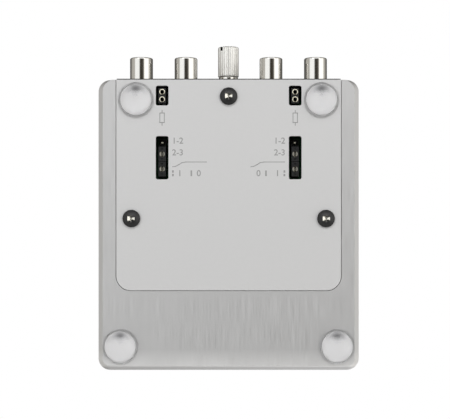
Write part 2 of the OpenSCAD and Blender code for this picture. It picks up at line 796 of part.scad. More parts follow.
module ground_lock_nut() {
    color([0.75, 0.74, 0.7])
        translate([0, panel_in_y - lug_t - lock_nut_t, post_z]) rotate([-90, 0, 0]) difference() {
            cylinder(r = lock_nut_flats / 2 / cos(180 / hex_sides), h = lock_nut_t, $fn = hex_sides);
            translate([0, 0, -overrun])
                cylinder(r = post_d / 2 + tapped_gap, h = lock_nut_t + 2 * overrun);
        }
}

// Soldering lug under the lock nut, with its tongue to one side
module ground_lug() {
    color([0.8, 0.78, 0.7])
        translate([0, panel_in_y, post_z]) rotate([90, 0, 0]) linear_extrude(lug_t) difference() {
            union() {
                circle(lug_eye_r);
                translate([0, -lug_tongue_w / 2])
                    square([lug_tongue_l - lug_tongue_w / 2, lug_tongue_w]);
                translate([lug_tongue_l - lug_tongue_w / 2, 0]) circle(lug_tongue_w / 2);
            }
            circle(post_d / 2 + tapped_gap);
            translate([lug_tongue_l - lug_tongue_w / 2, 0]) circle(lug_wire_r);
        }
}

module power_socket_body() {
    half_w = jack_w / 2;
    color([0.08, 0.08, 0.08]) difference() {
        block([-half_w, panel_in_y - jack_l, board_top_z], [half_w, panel_in_y, board_top_z + jack_h]);
        rod_y(jack_bore_d / 2, jack_floor_y, panel_in_y + overrun, 0, jack_z);
        rod_y(jack_root_r, panel_in_y - jack_l - overrun, panel_in_y, 0, jack_z);
        jack_slot();
    }
}

// Slot beside the plug's opening that the side contact lies in
module jack_slot() {
    x = jack_bore_d / 2 - jack_spring_t;
    half_h = jack_spring_w / 2;
    block([x, jack_floor_y, jack_z - half_h],
        [x + 2 * jack_spring_t, panel_in_y - jack_spring_back, jack_z + half_h]);
}

module power_socket_pin() {
    r = jack_pin_d / 2;
    tip_y = panel_out_y - jack_pin_recess;
    color([0.8, 0.78, 0.7]) {
        rod_y(jack_root_r, panel_in_y - jack_l, jack_floor_y, 0, jack_z);
        rod_y(r, jack_floor_y, tip_y - r / 2, 0, jack_z);
        translate([0, tip_y - r / 2, jack_z]) rotate([-90, 0, 0])
            cylinder(r1 = r, r2 = r / 2, h = r / 2);
    }
}

module power_socket_spring() {
    x = jack_bore_d / 2;
    half_h = jack_spring_w / 2;
    color([0.8, 0.78, 0.7])
        block([x, jack_floor_y, jack_z - half_h],
            [x + jack_spring_t, panel_in_y - jack_spring_back, jack_z + half_h]);
}

// Plastic strip of a pin row
module selector_strip(side) {
    notch = pin_pitch / 6;
    half_l = pin_count * pin_pitch / 2;
    color([0.08, 0.08, 0.08]) difference() {
        block([side * selector_x - header_w / 2, selector_y - half_l, strip_z],
            [side * selector_x + header_w / 2, selector_y + half_l, board_z]);
        for (y = pin_ys)
            translate([side * selector_x, y, board_z])
                cube([pin_w, pin_w, 3 * header_h], center = true);
        for (i = [0 : pin_count], sx = [left, right])
            translate([side * selector_x + sx * header_w / 2, selector_y - half_l + i * pin_pitch, 0])
                linear_extrude(board_z + overrun) rotate([0, 0, 45]) square(notch, center = true);
    }
}

// Square pin, pointed at its lower end
module square_pin() {
    half = pin_w / 2;
    tip = half / 2;
    profile = [
        [-tip, pin_tip_z], [tip, pin_tip_z], [half, pin_tip_z + half], [half, pin_top_z],
        [-half, pin_top_z], [-half, pin_tip_z + half]
    ];
    intersection() {
        translate([0, half, 0]) rotate([90, 0, 0]) linear_extrude(pin_w) polygon(profile);
        translate([-half, 0, 0]) rotate([90, 0, 90]) linear_extrude(pin_w) polygon(profile);
    }
}

module selector_pins(side) {
    color([0.85, 0.75, 0.45])
        for (y = pin_ys) translate([side * selector_x, y, 0]) square_pin();
}

// Plug-on cap that joins two pins. Its closed end points down, with a small window in it.
module plug_cap(side, y) {
    low_z = cap_top_z - cap_h;
    chamfer = cap_w / 8;
    well_w = clip_out_w + 2 * clip_wall_gap;
    well_l = clip_l + 2 * clip_wall_gap;
    profile = [
        [-cap_w / 2 + chamfer, low_z], [cap_w / 2 - chamfer, low_z], [cap_w / 2, low_z + chamfer],
        [cap_w / 2, cap_top_z], [-cap_w / 2, cap_top_z], [-cap_w / 2, low_z + chamfer]
    ];
    color([0.07, 0.07, 0.07]) translate([side * selector_x, y, 0]) difference() {
        translate([0, cap_l / 2, 0]) rotate([90, 0, 0]) linear_extrude(cap_l) polygon(profile);
        block([-well_w / 2, -well_l / 2, low_z + cap_end_t],
            [well_w / 2, well_l / 2, cap_top_z + overrun]);
        block([-well_w / 3, -pin_pitch / 3, low_z - overrun],
            [well_w / 3, pin_pitch / 3, cap_top_z]);
    }
}

// Folded spring clip inside a cap
module cap_clip(side, y) {
    low_z = cap_top_z - cap_h + cap_end_t;
    high_z = cap_top_z - cap_end_t;
    half = clip_out_w / 2;
    profile = [
        [-half, low_z], [half, low_z], [half, high_z], [half - clip_t, high_z],
        [half - clip_t, low_z + clip_t], [-half + clip_t, low_z + clip_t],
        [-half + clip_t, high_z], [-half, high_z]
    ];
    color([0.85, 0.8, 0.6]) translate([side * selector_x, y + clip_l / 2, 0])
        rotate([90, 0, 0]) linear_extrude(clip_l) polygon(profile);
}

module left_selector_strip() { selector_strip(left); }
module left_selector_pins() { selector_pins(left); }
module right_selector_strip() { selector_strip(right); }
module right_selector_pins() { selector_pins(right); }
module left_mode_cap() { plug_cap(left, mode_cap_y); }
module left_mode_clip() { cap_clip(left, mode_cap_y); }
module left_filter_cap() { plug_cap(left, filter_cap_y); }
module left_filter_clip() { cap_clip(left, filter_cap_y); }
module right_mode_cap() { plug_cap(right, mode_cap_y); }
module right_mode_clip() { cap_clip(right, mode_cap_y); }
module right_filter_cap() { plug_cap(right, filter_cap_y); }
module right_filter_clip() { cap_clip(right, filter_cap_y); }

// Two-way socket strip for a load resistor
module load_strip(side) {
    color([0.06, 0.06, 0.06]) difference() {
        block([side * selector_x - pin_pitch / 2, load_y - pin_pitch, load_face_z],
            [side * selector_x + pin_pitch / 2, load_y + pin_pitch, board_z]);
        for (sy = [left, right])
            translate([side * selector_x, load_y + sy * pin_pitch / 2, load_face_z - overrun])
                cylinder(r = load_body_d / 2, h = board_z - load_face_z + 2 * overrun, $fn = 32);
    }
}

module load_contacts(side) {
    color([0.85, 0.8, 0.6]) for (sy = [left, right])
        translate([side * selector_x, load_y + sy * pin_pitch / 2, load_face_z]) difference() {
            union() {
                translate([0, 0, -load_ring_h]) cylinder(r = load_ring_d / 2, h = load_ring_h, $fn = 32);
                cylinder(r = load_body_d / 2, h = board_z - load_face_z, $fn = 32);
            }
            translate([0, 0, -load_ring_h - overrun])
                cylinder(r = load_bore_d / 2, h = load_bore_deep + load_ring_h + overrun, $fn = 32);
        }
}

module left_load_strip() { load_strip(left); }
module left_load_contacts() { load_contacts(left); }
module right_load_strip() { load_strip(right); }
module right_load_contacts() { load_contacts(right); }

// Light in the front wall, with its two leads bent down to the board
module power_light() {
    r = light_d / 2;
    z = board_top_z + light_rise;
    centre_y = front_y + light_recess + r;
    back_y = centre_y + light_l;
    flange_y = back_y + light_flange_h;
    color([0.9, 0.95, 1, 0.8]) {
        translate([0, centre_y, z]) sphere(r);
        rod_y(r, centre_y, back_y, 0, z);
        rod_y(r + lead_r, back_y, flange_y, 0, z);
        for (sx = [left, right]) {
            lead_x = sx * r / 2;
            lead_y = flange_y + 2 * lead_r;
            rod_y(lead_r, back_y, lead_y, lead_x, z);
            translate([lead_x, lead_y, board_top_z]) cylinder(r = lead_r, h = z - board_top_z);
            translate([lead_x, lead_y, z]) sphere(lead_r);
        }
    }
}

// Eight-legged amplifier chips, one for each channel
module amplifier_chips() {
    color([0.1, 0.1, 0.1]) for (sx = [left, right])
        translate([sx * chip_x, rear_y - group_back, board_top_z]) {
            difference() {
                block([-chip_w / 2, -chip_l / 2, chip_rise],
                    [chip_w / 2, chip_l / 2, chip_rise + chip_h]);
                translate([0, chip_l / 2, chip_rise + chip_h / 2])
                    cylinder(r = chip_mark_r, h = chip_h);
            }
            for (i = [0 : 3], side = [left, right])
                translate([side * chip_w / 2, (i - 3 / 2) * pin_pitch, 0])
                    block([min(0, side * chip_leg_t), -chip_leg_w / 2, 0],
                        [max(0, side * chip_leg_t), chip_leg_w / 2, chip_rise + chip_h / 2]);
        }
}

module supply_capacitors() {
    color([0.15, 0.17, 0.3]) for (sx = [left, right], row = [0, 1])
        translate([sx * can_x, rear_y - can_back - row * can_step, board_top_z])
            difference() {
                cylinder(r = can_d / 2, h = can_h);
                translate([0, 0, can_groove_z]) rotate_extrude()
                    translate([can_d / 2 + can_groove_r / 2, 0]) circle(can_groove_r, $fn = 24);
            }
}

// Film capacitors with rounded upright edges, each on its two leads
module film_capacitors() {
    color([0.7, 0.15, 0.12]) for (sx = [left, right], i = [-1, 0, 1])
        translate([sx * film_x, rear_y - group_back - i * film_step, board_top_z]) {
            translate([0, 0, film_rise]) linear_extrude(film_h - film_rise)
                rounded_rect(film_l, film_w, film_r);
            for (end = [left, right])
                translate([end * film_l / 3, 0, 0]) cylinder(r = lead_r, h = film_h / 2, $fn = 24);
        }
}

// Resistors that lie on the board across the signal path, thicker at their two ends
module resistors() {
    r = resistor_d / 2;
    span = resistor_l / 2 + r;
    axis_z = r + resistor_cap_step;
    half_profile = [
        [0, -resistor_l / 2], [axis_z, -resistor_l / 2], [axis_z, -resistor_l / 2 + resistor_cap_l],
        [r, -resistor_l / 2 + resistor_cap_l + resistor_cap_step],
        [r, resistor_l / 2 - resistor_cap_l - resistor_cap_step],
        [axis_z, resistor_l / 2 - resistor_cap_l], [axis_z, resistor_l / 2], [0, resistor_l / 2]
    ];
    color([0.35, 0.5, 0.65]) for (sx = [left, right], i = [0 : 3])
        translate([sx * resistor_x, rear_y - group_back - (i - 3 / 2) * resistor_step, board_top_z]) {
            translate([0, 0, axis_z]) rotate([0, 90, 0]) rotate_extrude() polygon(half_profile);
            translate([-span, 0, axis_z]) rotate([0, 90, 0])
                cylinder(r = lead_r, h = 2 * span, $fn = 24);
            for (end = [left, right]) {
                translate([end * span, 0, 0]) cylinder(r = lead_r, h = axis_z, $fn = 24);
                translate([end * span, 0, axis_z]) sphere(lead_r, $fn = 24);
            }
        }
}

// Upright regulator with its cooling tab
module voltage_regulator() {
    color([0.12, 0.12, 0.12])
        translate([0, rear_y - regulator_back, board_top_z]) {
            block([-regulator_w / 2, 0, regulator_leg_h],
                [regulator_w / 2, regulator_t, regulator_leg_h + regulator_h]);
            difference() {
                block([-regulator_w / 2, regulator_t, regulator_leg_h],
                    [regulator_w / 2, regulator_t + tab_t, regulator_leg_h + tab_h]);
                rod_y(tab_hole_r, regulator_t - overrun, regulator_t + tab_t + overrun,
                    0, regulator_leg_h + tab_hole_z);
            }
            for (i = [-1, 0, 1])
                block([i * regulator_w / 4 - lead_r, regulator_t / 2 - lead_r, 0],
                    [i * regulator_w / 4 + lead_r, regulator_t / 2 + lead_r, regulator_leg_h]);
        }
}

housing();
base_plate();
rear_panel();
case_screws();
press_nut();
rear_left_foot();
rear_right_foot();
front_left_foot();
front_right_foot();
circuit_board();
board_standoffs();
board_screws();
left_input_barrel();
left_input_insulator();
left_input_contact();
left_input_body();
right_input_barrel();
right_input_insulator();
right_input_contact();
right_input_body();
left_output_barrel();
left_output_insulator();
left_output_contact();
left_output_body();
right_output_barrel();
right_output_insulator();
right_output_contact();
right_output_body();
ground_post();
ground_ring();
ground_nut();
ground_lock_nut();
ground_lug();
power_socket_body();
power_socket_pin();
power_socket_spring();
left_selector_strip();
left_selector_pins();
right_selector_strip();
right_selector_pins();
left_mode_cap();
left_mode_clip();
left_filter_cap();
left_filter_clip();
right_mode_cap();
right_mode_clip();
right_filter_cap();
right_filter_clip();
left_load_strip();
left_load_contacts();
right_load_strip();
right_load_contacts();
power_light();
amplifier_chips();
supply_capacitors();
film_capacitors();
resistors();
voltage_regulator();
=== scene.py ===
import math
import bmesh
import bpy
from mathutils import Matrix, Vector


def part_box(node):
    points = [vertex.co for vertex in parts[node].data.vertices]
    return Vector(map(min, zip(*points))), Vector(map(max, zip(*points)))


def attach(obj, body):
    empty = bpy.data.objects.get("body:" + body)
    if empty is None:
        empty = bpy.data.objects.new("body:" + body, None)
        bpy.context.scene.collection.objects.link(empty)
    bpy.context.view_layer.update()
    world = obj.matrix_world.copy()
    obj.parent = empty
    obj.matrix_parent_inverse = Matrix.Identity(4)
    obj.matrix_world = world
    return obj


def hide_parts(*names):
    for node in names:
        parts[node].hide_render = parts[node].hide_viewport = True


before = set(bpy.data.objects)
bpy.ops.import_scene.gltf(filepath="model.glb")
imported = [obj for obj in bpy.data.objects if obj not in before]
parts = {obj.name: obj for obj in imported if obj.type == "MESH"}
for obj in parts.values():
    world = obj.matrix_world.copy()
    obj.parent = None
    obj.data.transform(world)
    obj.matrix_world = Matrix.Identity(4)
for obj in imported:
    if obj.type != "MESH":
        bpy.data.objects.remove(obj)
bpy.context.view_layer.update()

mm = 0.001
scene = bpy.context.scene


def say(stage):
    print("stage:", stage)


# Node tree helpers, for shapes and materials alike


def add(tree, kind, inputs=None, **settings):
    made = tree.nodes.new(kind)
    for key, value in settings.items():
        setattr(made, key, value)
    for key, value in (inputs or {}).items():
        feed(tree, made.inputs[key], value)
    return made


def feed(tree, socket, value):
    if isinstance(value, Amount):
        value = value.socket
    if isinstance(value, bpy.types.NodeSocket):
        tree.links.new(value, socket)
    else:
        socket.default_value = value


def calc(tree, operation, *values):  # one Math node
    made = add(tree, "ShaderNodeMath", operation=operation)
    for socket, value in zip(made.inputs, values):
        feed(tree, socket, value)
    return Amount(tree, made.outputs[0])


class Amount:  # a node's output that can stand in a formula
    def __init__(self, tree, socket):
        self.tree, self.socket = tree, socket

    def __add__(self, other):
        return calc(self.tree, "ADD", self, other)

    def __sub__(self, other):
        return calc(self.tree, "SUBTRACT", self, other)

    def __mul__(self, other):
        return calc(self.tree, "MULTIPLY", self, other)

    def __truediv__(self, other):
        return calc(self.tree, "DIVIDE", self, other)

    def __neg__(self):
        return calc(self.tree, "MULTIPLY", self, -1.0)

    def __rsub__(self, other):
        return calc(self.tree, "SUBTRACT", other, self)

    __radd__ = __add__
    __rmul__ = __mul__


def vector(tree, x=0.0, y=0.0, z=0.0):
    return add(tree, "ShaderNodeCombineXYZ", {0: x, 1: y, 2: z}).outputs[0]


def parted(tree, value):  # x, y and z of a vector
    return [Amount(tree, out) for out in add(tree, "ShaderNodeSeparateXYZ", {0: value}).outputs]


# Materials


def newFinish(name):
    material = bpy.data.materials.new(name)
    material.use_nodes = True
    material.node_tree.nodes.clear()
    return material, material.node_tree


def closeFinish(material, inputs):  # one Principled shader and the output
    tree = material.node_tree
    shader = add(tree, "ShaderNodeBsdfPrincipled", inputs)
    add(tree, "ShaderNodeOutputMaterial", {"Surface": shader.outputs[0]})
    return material


def grain(tree, size, stretch=(1, 1, 1)):
    # noise with features of one size in metres, stretched along the axes
    place = add(tree, "ShaderNodeTexCoord").outputs["Object"]
    moved = add(tree, "ShaderNodeMapping", {"Vector": place, "Scale": [1 / (size * s) for s in stretch]})
    noise = add(tree, "ShaderNodeTexNoise", {"Vector": moved.outputs[0], "Scale": 1.0, "Detail": 3.0})
    return Amount(tree, noise.outputs["Fac"])


def spread(tree, value, low, high, start=0.3, end=0.7):  # start..end becomes low..high
    made = add(tree, "ShaderNodeMapRange", {"Value": value, "From Min": start, "From Max": end,
                                            "To Min": low, "To Max": high})
    return Amount(tree, made.outputs[0])


def tinted(tree, factor, dark, light):
    made = add(tree, "ShaderNodeMix", data_type="RGBA")
    feed(tree, made.inputs[0], factor)
    for place, colour in ((6, dark), (7, light)):
        feed(tree, made.inputs[place], colour if isinstance(colour, bpy.types.NodeSocket) else (*colour, 1))
    return made.outputs[2]


def relief(tree, height, strength, distance):
    return add(tree, "ShaderNodeBump", {"Height": height, "Strength": strength,
                                        "Distance": distance}).outputs[0]


def markOn(tree, name):  # an attribute that marks some faces or points of the mesh
    return Amount(tree, add(tree, "ShaderNodeAttribute", attribute_name=name).outputs["Fac"])


def plainFinish(name, colour, metallic=0.0, roughness=0.5, uneven=0.06, grainSize=0.6 * mm,
                stretch=(1, 1, 1), roughSpread=0.06, bump=0.05, coat=0.0, wearAndPaintedLight=None):
    # faint clouding, uneven gloss and a fine relief, and where asked a pale band of painted light towards an
    # edge
    material, tree = newFinish(name)
    cloud = grain(tree, grainSize * 6, stretch)
    fine = grain(tree, grainSize, stretch)
    dark = [c * (1 - uneven) for c in colour]
    light = [min(1.0, c * (1 + uneven)) for c in colour]
    base = tinted(tree, spread(tree, (cloud + fine) * 0.5, 0, 1), dark, light)
    # painted light: a pale band of colour across Y stands for light brightening the surface towards an edge
    if wearAndPaintedLight:  # paler towards an edge across Y, and plain again beyond it
        along = parted(tree, add(tree, "ShaderNodeTexCoord").outputs["Object"])[1]
        pale = spread(tree, along, 0, 1, wearAndPaintedLight["start"], wearAndPaintedLight["end"])
        pale = pale * spread(tree, along, 0, 1, wearAndPaintedLight["edge"], wearAndPaintedLight["end"])
        base = tinted(tree, pale, base, wearAndPaintedLight["colour"])
    return closeFinish(material, {
        "Base Color": base,
        "Metallic": metallic,
        "Roughness": spread(tree, fine, roughness - roughSpread, roughness + roughSpread),
        "Coat Weight": coat, "Coat Roughness": 0.1,
        "Normal": relief(tree, fine, bump, grainSize * 0.3),
    })


finishes = {
    "housing_aluminium": dict(colour=(0.77, 0.77, 0.773), metallic=1.0, roughness=0.52, uneven=0.02,
                              grainSize=0.25 * mm, stretch=(1, 40, 1), bump=0.05, roughSpread=0.05,
                              # painted light: a pale band of colour near the front edge of the underside
                              wearAndPaintedLight=dict(start=-49.0 * mm, end=-54.8 * mm, edge=-55.2 * mm,
                                        colour=(1.0, 1.0, 1.0))),
    "plate_aluminium": dict(colour=(0.75, 0.75, 0.753), metallic=0.55, roughness=0.65, uneven=0.01,
                            grainSize=0.2 * mm, bump=0.03, roughSpread=0.04),
    "panel_black": dict(colour=(0.02, 0.02, 0.021), roughness=0.55, grainSize=0.25 * mm, bump=0.35),
    "zinc_steel": dict(colour=(0.55, 0.55, 0.53), metallic=1.0, roughness=0.3, grainSize=0.4 * mm),
    "board_green": dict(colour=(0.02, 0.12, 0.05), roughness=0.35, coat=0.5, uneven=0.2),
    "standoff_brass": dict(colour=(0.65, 0.6, 0.45), metallic=1.0, roughness=0.3),
    "socket_nickel": dict(colour=(0.80, 0.785, 0.75), metallic=1.0, roughness=0.1, uneven=0.015,
                          roughSpread=0.03, bump=0.02),
    "insulator_white": dict(colour=(0.8, 0.8, 0.77), roughness=0.4, uneven=0.02),
    "contact_gold": dict(colour=(0.83, 0.62, 0.28), metallic=1.0, roughness=0.2),
    "body_white": dict(colour=(0.8, 0.8, 0.77), roughness=0.45, uneven=0.02),
    "body_red": dict(colour=(0.5, 0.02, 0.02), roughness=0.45, uneven=0.05),
    "terminal_nickel": dict(colour=(0.9, 0.885, 0.845), metallic=1.0, roughness=0.18, uneven=0.015,
                            roughSpread=0.03, bump=0.02),
    "plastic_black": dict(colour=(0.010, 0.010, 0.011), roughness=0.4, grainSize=0.3 * mm, bump=0.1),
    "light_clear": dict(colour=(0.85, 0.88, 0.9), roughness=0.1),
    "chip_black": dict(colour=(0.02, 0.02, 0.02), roughness=0.6, grainSize=0.2 * mm, bump=0.2),
    "capacitor_blue": dict(colour=(0.02, 0.04, 0.16), roughness=0.3, coat=0.4),
    "film_red": dict(colour=(0.45, 0.03, 0.02), roughness=0.3, coat=0.3),
    "resistor_blue": dict(colour=(0.15, 0.35, 0.55), roughness=0.35),
    "etched_mark": dict(colour=(0.36, 0.36, 0.36), roughness=0.8, uneven=0.12, bump=0.3),
}
looks = {slot: plainFinish(slot, **values) for slot, values in finishes.items()}


def clearRubber(name, colour=(0.995, 0.995, 1.0)):
    # polyurethane: clear, with a faint haze
    material, tree = newFinish(name)
    haze = grain(tree, 1.5 * mm)
    return closeFinish(material, {
        "Base Color": tinted(tree, spread(tree, haze, 0, 1), [c * 0.99 for c in colour], colour),
        "Roughness": spread(tree, haze, 0.04, 0.06),
        "IOR": 1.49, "Transmission Weight": 1.0,
    })


def wornRecessBlack(name, clean=(0.012, 0.012, 0.013), bare=(0.86, 0.84, 0.76)):
    # black heads with bare metal where the attribute "recess" marks the cross recess
    material, tree = newFinish(name)
    fine = grain(tree, 0.25 * mm)
    wearAndPaintedLight = markOn(tree, "recess") * spread(tree, fine, 0.8, 1.0, 0.3, 0.5)
    return closeFinish(material, {
        "Base Color": tinted(tree, wearAndPaintedLight, clean, bare),
        "Metallic": wearAndPaintedLight,
        "Roughness": spread(tree, wearAndPaintedLight, 0.42, 0.22, 0, 1),
        "Normal": relief(tree, fine, 0.12, 0.05 * mm),
    })


def satinNickel(name, colour=(0.97, 0.96, 0.925), slotShade=(0.02, 0.018, 0.012)):
    # satin plating, with painted shade: dull and dark where the attribute "recess" marks the screwdriver slot
    material, tree = newFinish(name)
    fine = grain(tree, 0.3 * mm)
    recess = markOn(tree, "recess")
    return closeFinish(material, {
        "Base Color": tinted(tree, recess, colour, slotShade),
        "Metallic": 0.9,
        "Roughness": spread(tree, fine, 0.37, 0.43) + recess * 0.4,
        "Normal": relief(tree, fine, 0.03, 0.05 * mm),
    })


def shadedPad(name, colour=(0.98, 0.98, 0.99), shade=(0.16, 0.16, 0.17)):
    # white adhesive pad, darker where the attribute "shade" marks the dome's own shadow on it;
    # the faint glow stands for the light that the dome gathers
    material, tree = newFinish(name)
    return closeFinish(material, {
        "Base Color": tinted(tree, markOn(tree, "shade"), colour, shade),
        "Metallic": 0.08, "Emission Color": (*colour, 1), "Emission Strength": 0.11,
        "Roughness": spread(tree, grain(tree, 0.8 * mm), 0.33, 0.36),
    })


def darkBore(name, colour=(0.78, 0.74, 0.60), boreShade=(0.012, 0.011, 0.008)):
    # tin plating, painted black as shade where the attribute "recess" marks a bore's faces
    material, tree = newFinish(name)
    fine = grain(tree, 0.3 * mm)
    recess = markOn(tree, "recess")
    return closeFinish(material, {
        "Base Color": tinted(tree, recess, colour, boreShade),
        "Metallic": 1.0 - recess,
        "Roughness": spread(tree, fine, 0.15, 0.22) + recess * 0.4,
        "Normal": relief(tree, fine, 0.05, 0.05 * mm),
    })


for name, make in (("clear_foot", clearRubber), ("nut_nickel", satinNickel), ("screw_black", wornRecessBlack),
                   ("foot_pad", shadedPad), ("contact_tin", darkBore)):
    looks[name] = make(name)
# painted shade: spring_sheet is a darker copy of the tin plating, for the clip deep in its cap
looks["spring_sheet"] = darkBore("spring_sheet", colour=(0.24, 0.23, 0.2))
say("finishes")


def dress(slot, *names):
    for name in names:
        mesh = parts[name].data
        if not mesh.materials:
            mesh.materials.append(looks[slot])
        for place in parts[name].material_slots:
            place.material = looks[slot]


sides = ["left", "right"]
sockets = ["left_input", "right_input", "left_output", "right_output"]
jumpers = ["left_mode", "left_filter", "right_mode", "right_filter"]
dress("housing_aluminium", "housing")
dress("plate_aluminium", "base_plate")
dress("panel_black", "rear_panel")
dress("screw_black", "case_screws")
dress("zinc_steel", "press_nut", "board_screws", "ground_lock_nut", "ground_lug")
dress("clear_foot", "rear_left_foot", "rear_right_foot", "front_left_foot", "front_right_foot")
dress("board_green", "circuit_board")
dress("standoff_brass", "board_standoffs")
dress("socket_nickel", *[s + "_barrel" for s in sockets])
dress("insulator_white", *[s + "_insulator" for s in sockets])
dress("contact_gold", *[s + "_contact" for s in sockets])
dress("body_white", "left_input_body", "left_output_body")
dress("body_red", "right_input_body", "right_output_body")
dress("terminal_nickel", "ground_post", "ground_ring", "ground_nut")
dress("contact_tin", "power_socket_pin", "power_socket_spring", "left_selector_pins", "right_selector_pins",
      "left_load_contacts", "right_load_contacts", *[j + "_clip" for j in jumpers])
dress("plastic_black", "power_socket_body", "left_selector_strip", "right_selector_strip",
      "left_load_strip", "right_load_strip", *[j + "_cap" for j in jumpers])
dress("light_clear", "power_light")
dress("chip_black", "amplifier_chips", "voltage_regulator")
dress("capacitor_blue", "supply_capacitors")
dress("film_red", "film_capacitors")
dress("resistor_blue", "resistors")


# Pieces made from a CAD node: the same shape with its edges broken


def addObject(name, data):
    made = bpy.data.objects.new(name, data)
    scene.collection.objects.link(made)
    return made


def newPiece(name, mesh, body, slot, *stands):
    piece = addObject(name, mesh)
    if not mesh.materials:
        mesh.materials.append(looks[slot])
    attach(piece, body)
    if stands:
        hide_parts(*stands)
    return piece


def meshOf(form, name):
    mesh = bpy.data.meshes.new(name)
    form.to_mesh(mesh)
    form.free()
    return mesh


def plainMesh(holder):  # what a curve or a modifier makes; the holder goes
    depsgraph = bpy.context.evaluated_depsgraph_get()
    mesh = bpy.data.meshes.new_from_object(holder.evaluated_get(depsgraph), depsgraph=depsgraph)
    bpy.data.objects.remove(holder)
    return mesh


def smoothByAngle(mesh, degrees=32):
    mesh.polygons.foreach_set("use_smooth", [True] * len(mesh.polygons))
    mesh.set_sharp_from_angle(angle=math.radians(degrees))


def mergedCopy(name, nodes):
    form = bmesh.new()
    for node in nodes:
        form.from_mesh(parts[node].data)
    bmesh.ops.remove_doubles(form, verts=form.verts, dist=0.002 * mm)
    bmesh.ops.dissolve_limit(form, angle_limit=math.radians(1), verts=form.verts, edges=form.edges)
    return meshOf(form, name)


edgeWidths = {"housing": 0.08 * mm, "plate": 0.04 * mm, "panel": 0.12 * mm, "cap": 0.08 * mm,
              "moulding": 0.15 * mm, "strip": 0.06 * mm, "small": 0.05 * mm}


def breakEdges(piece, kind):
    edge = piece.modifiers.new("edges", "BEVEL")
    edge.width = edgeWidths[kind]
    edge.segments = 2
    edge.limit_method = "ANGLE"
    edge.angle_limit = math.radians(35)


def softened(name, slot, kind, *nodes):
    mesh = mergedCopy(name, nodes)
    smoothByAngle(mesh)
    piece = newPiece(name, mesh, "chassis", slot, *nodes)
    breakEdges(piece, kind)
    flat = piece.modifiers.new("flat faces", "WEIGHTED_NORMAL")
    flat.keep_sharp = True


softened("housing_shell", "housing_aluminium", "housing", "housing")
softened("base_plate_sheet", "plate_aluminium", "plate", "base_plate")
softened("rear_panel_sheet", "panel_black", "panel", "rear_panel")
for side in sides:
    softened(side + "_pin_strip", "plastic_black", "strip", side + "_selector_strip")
    softened(side + "_load_socket", "plastic_black", "strip", side + "_load_strip")
    softened(side + "_channel_mouldings", "body_white" if side == "left" else "body_red", "moulding",
             side + "_input_body", side + "_output_body")
softened("socket_insulators", "insulator_white", "small", *[s + "_insulator" for s in sockets])
softened("socket_contacts", "contact_gold", "small", *[s + "_contact" for s in sockets])
softened("power_socket_moulding", "plastic_black", "moulding", "power_socket_body")
softened("board_spacers", "standoff_brass", "moulding", "board_standoffs")
softened("capacitor_cans", "capacitor_blue", "moulding", "supply_capacitors")
softened("capacitor_boxes", "film_red", "moulding", "film_capacitors")
softened("power_lens", "light_clear", "small", "power_light")
say("housing, plates and mouldings")


# Shapes that repeat or follow a rule, in Geometry Nodes

weld = 0.0005 * mm  # points closer than this become one
alongY = (-math.pi / 2, 0, 0)  # turns a shape's own +Z to +Y


def newShape(name, sizes):
    # a tree with a named input for each size; returns the tree, its points and its inputs
    tree = bpy.data.node_groups.new(name, "GeometryNodeTree")
    tree.is_modifier = True
    for way in ("INPUT", "OUTPUT"):
        tree.interface.new_socket("Geometry", in_out=way, socket_type="NodeSocketGeometry")
    numbers = {key: value for key, value in sizes.items() if isinstance(value, (int, float))}
    for key, value in numbers.items():
        kind = "NodeSocketInt" if isinstance(value, int) else "NodeSocketFloat"
        tree.interface.new_socket(key, in_out="INPUT", socket_type=kind)
    start = add(tree, "NodeGroupInput")
    return tree, start.outputs["Geometry"], {key: Amount(tree, start.outputs[key]) for key in numbers}


def closeShape(tree, points, shape, slot, turn=(0, 0, 0)):
    # sets the shape on every point, as a real mesh in one material
    copies = add(tree, "GeometryNodeInstanceOnPoints", {"Points": points, "Instance": shape,
                                                        "Rotation": turn})
    real = add(tree, "GeometryNodeRealizeInstances", {"Geometry": copies.outputs[0]})
    wearAndPaintedLight = add(tree, "GeometryNodeSetMaterial", {"Geometry": real.outputs[0], "Material": looks[slot]})
    add(tree, "NodeGroupOutput", {"Geometry": wearAndPaintedLight.outputs[0]})


def grown(name, tree, places, sizes, body, slot, *stands, degrees=32):
    # runs the tree on a mesh of points and makes a piece of the plain mesh
    seed = bpy.data.meshes.new(name + "_places")
    seed.from_pydata(places, [], [])
    holder = addObject(name + "_places", seed)
    grow = holder.modifiers.new(name, "NODES")
    grow.node_group = tree
    for item in tree.interface.items_tree:
        if item.item_type == "SOCKET" and item.in_out == "INPUT" and item.name in sizes:
            grow[item.identifier] = sizes[item.name]
    mesh = plainMesh(holder)
    form = bmesh.new()
    form.from_mesh(mesh)
    bmesh.ops.recalc_face_normals(form, faces=form.faces)
    form.to_mesh(mesh)
    form.free()
    mesh.name = name
    smoothByAngle(mesh, degrees)
    return newPiece(name, mesh, body, slot, *stands)


def turned(tree, rows, steps, placeOf):
    # a grid rolled round Z; placeOf gives radius and height from the angle and the row
    grid = add(tree, "GeometryNodeMeshGrid", {"Vertices X": steps + 1, "Vertices Y": rows})
    index = Amount(tree, add(tree, "GeometryNodeInputIndex").outputs[0])
    column = calc(tree, "FLOOR", (index + 0.5) / rows)
    angle = column * (2 * math.pi / steps)
    radius, height = placeOf(angle, calc(tree, "ROUND", index - column * rows))
    place = vector(tree, radius * calc(tree, "COSINE", angle), radius * calc(tree, "SINE", angle), height)
    bent = add(tree, "GeometryNodeSetPosition", {"Geometry": grid.outputs["Mesh"], "Position": place})
    closed = add(tree, "GeometryNodeMergeByDistance", {"Geometry": bent.outputs[0], "Distance": weld})
    return closed.outputs[0]


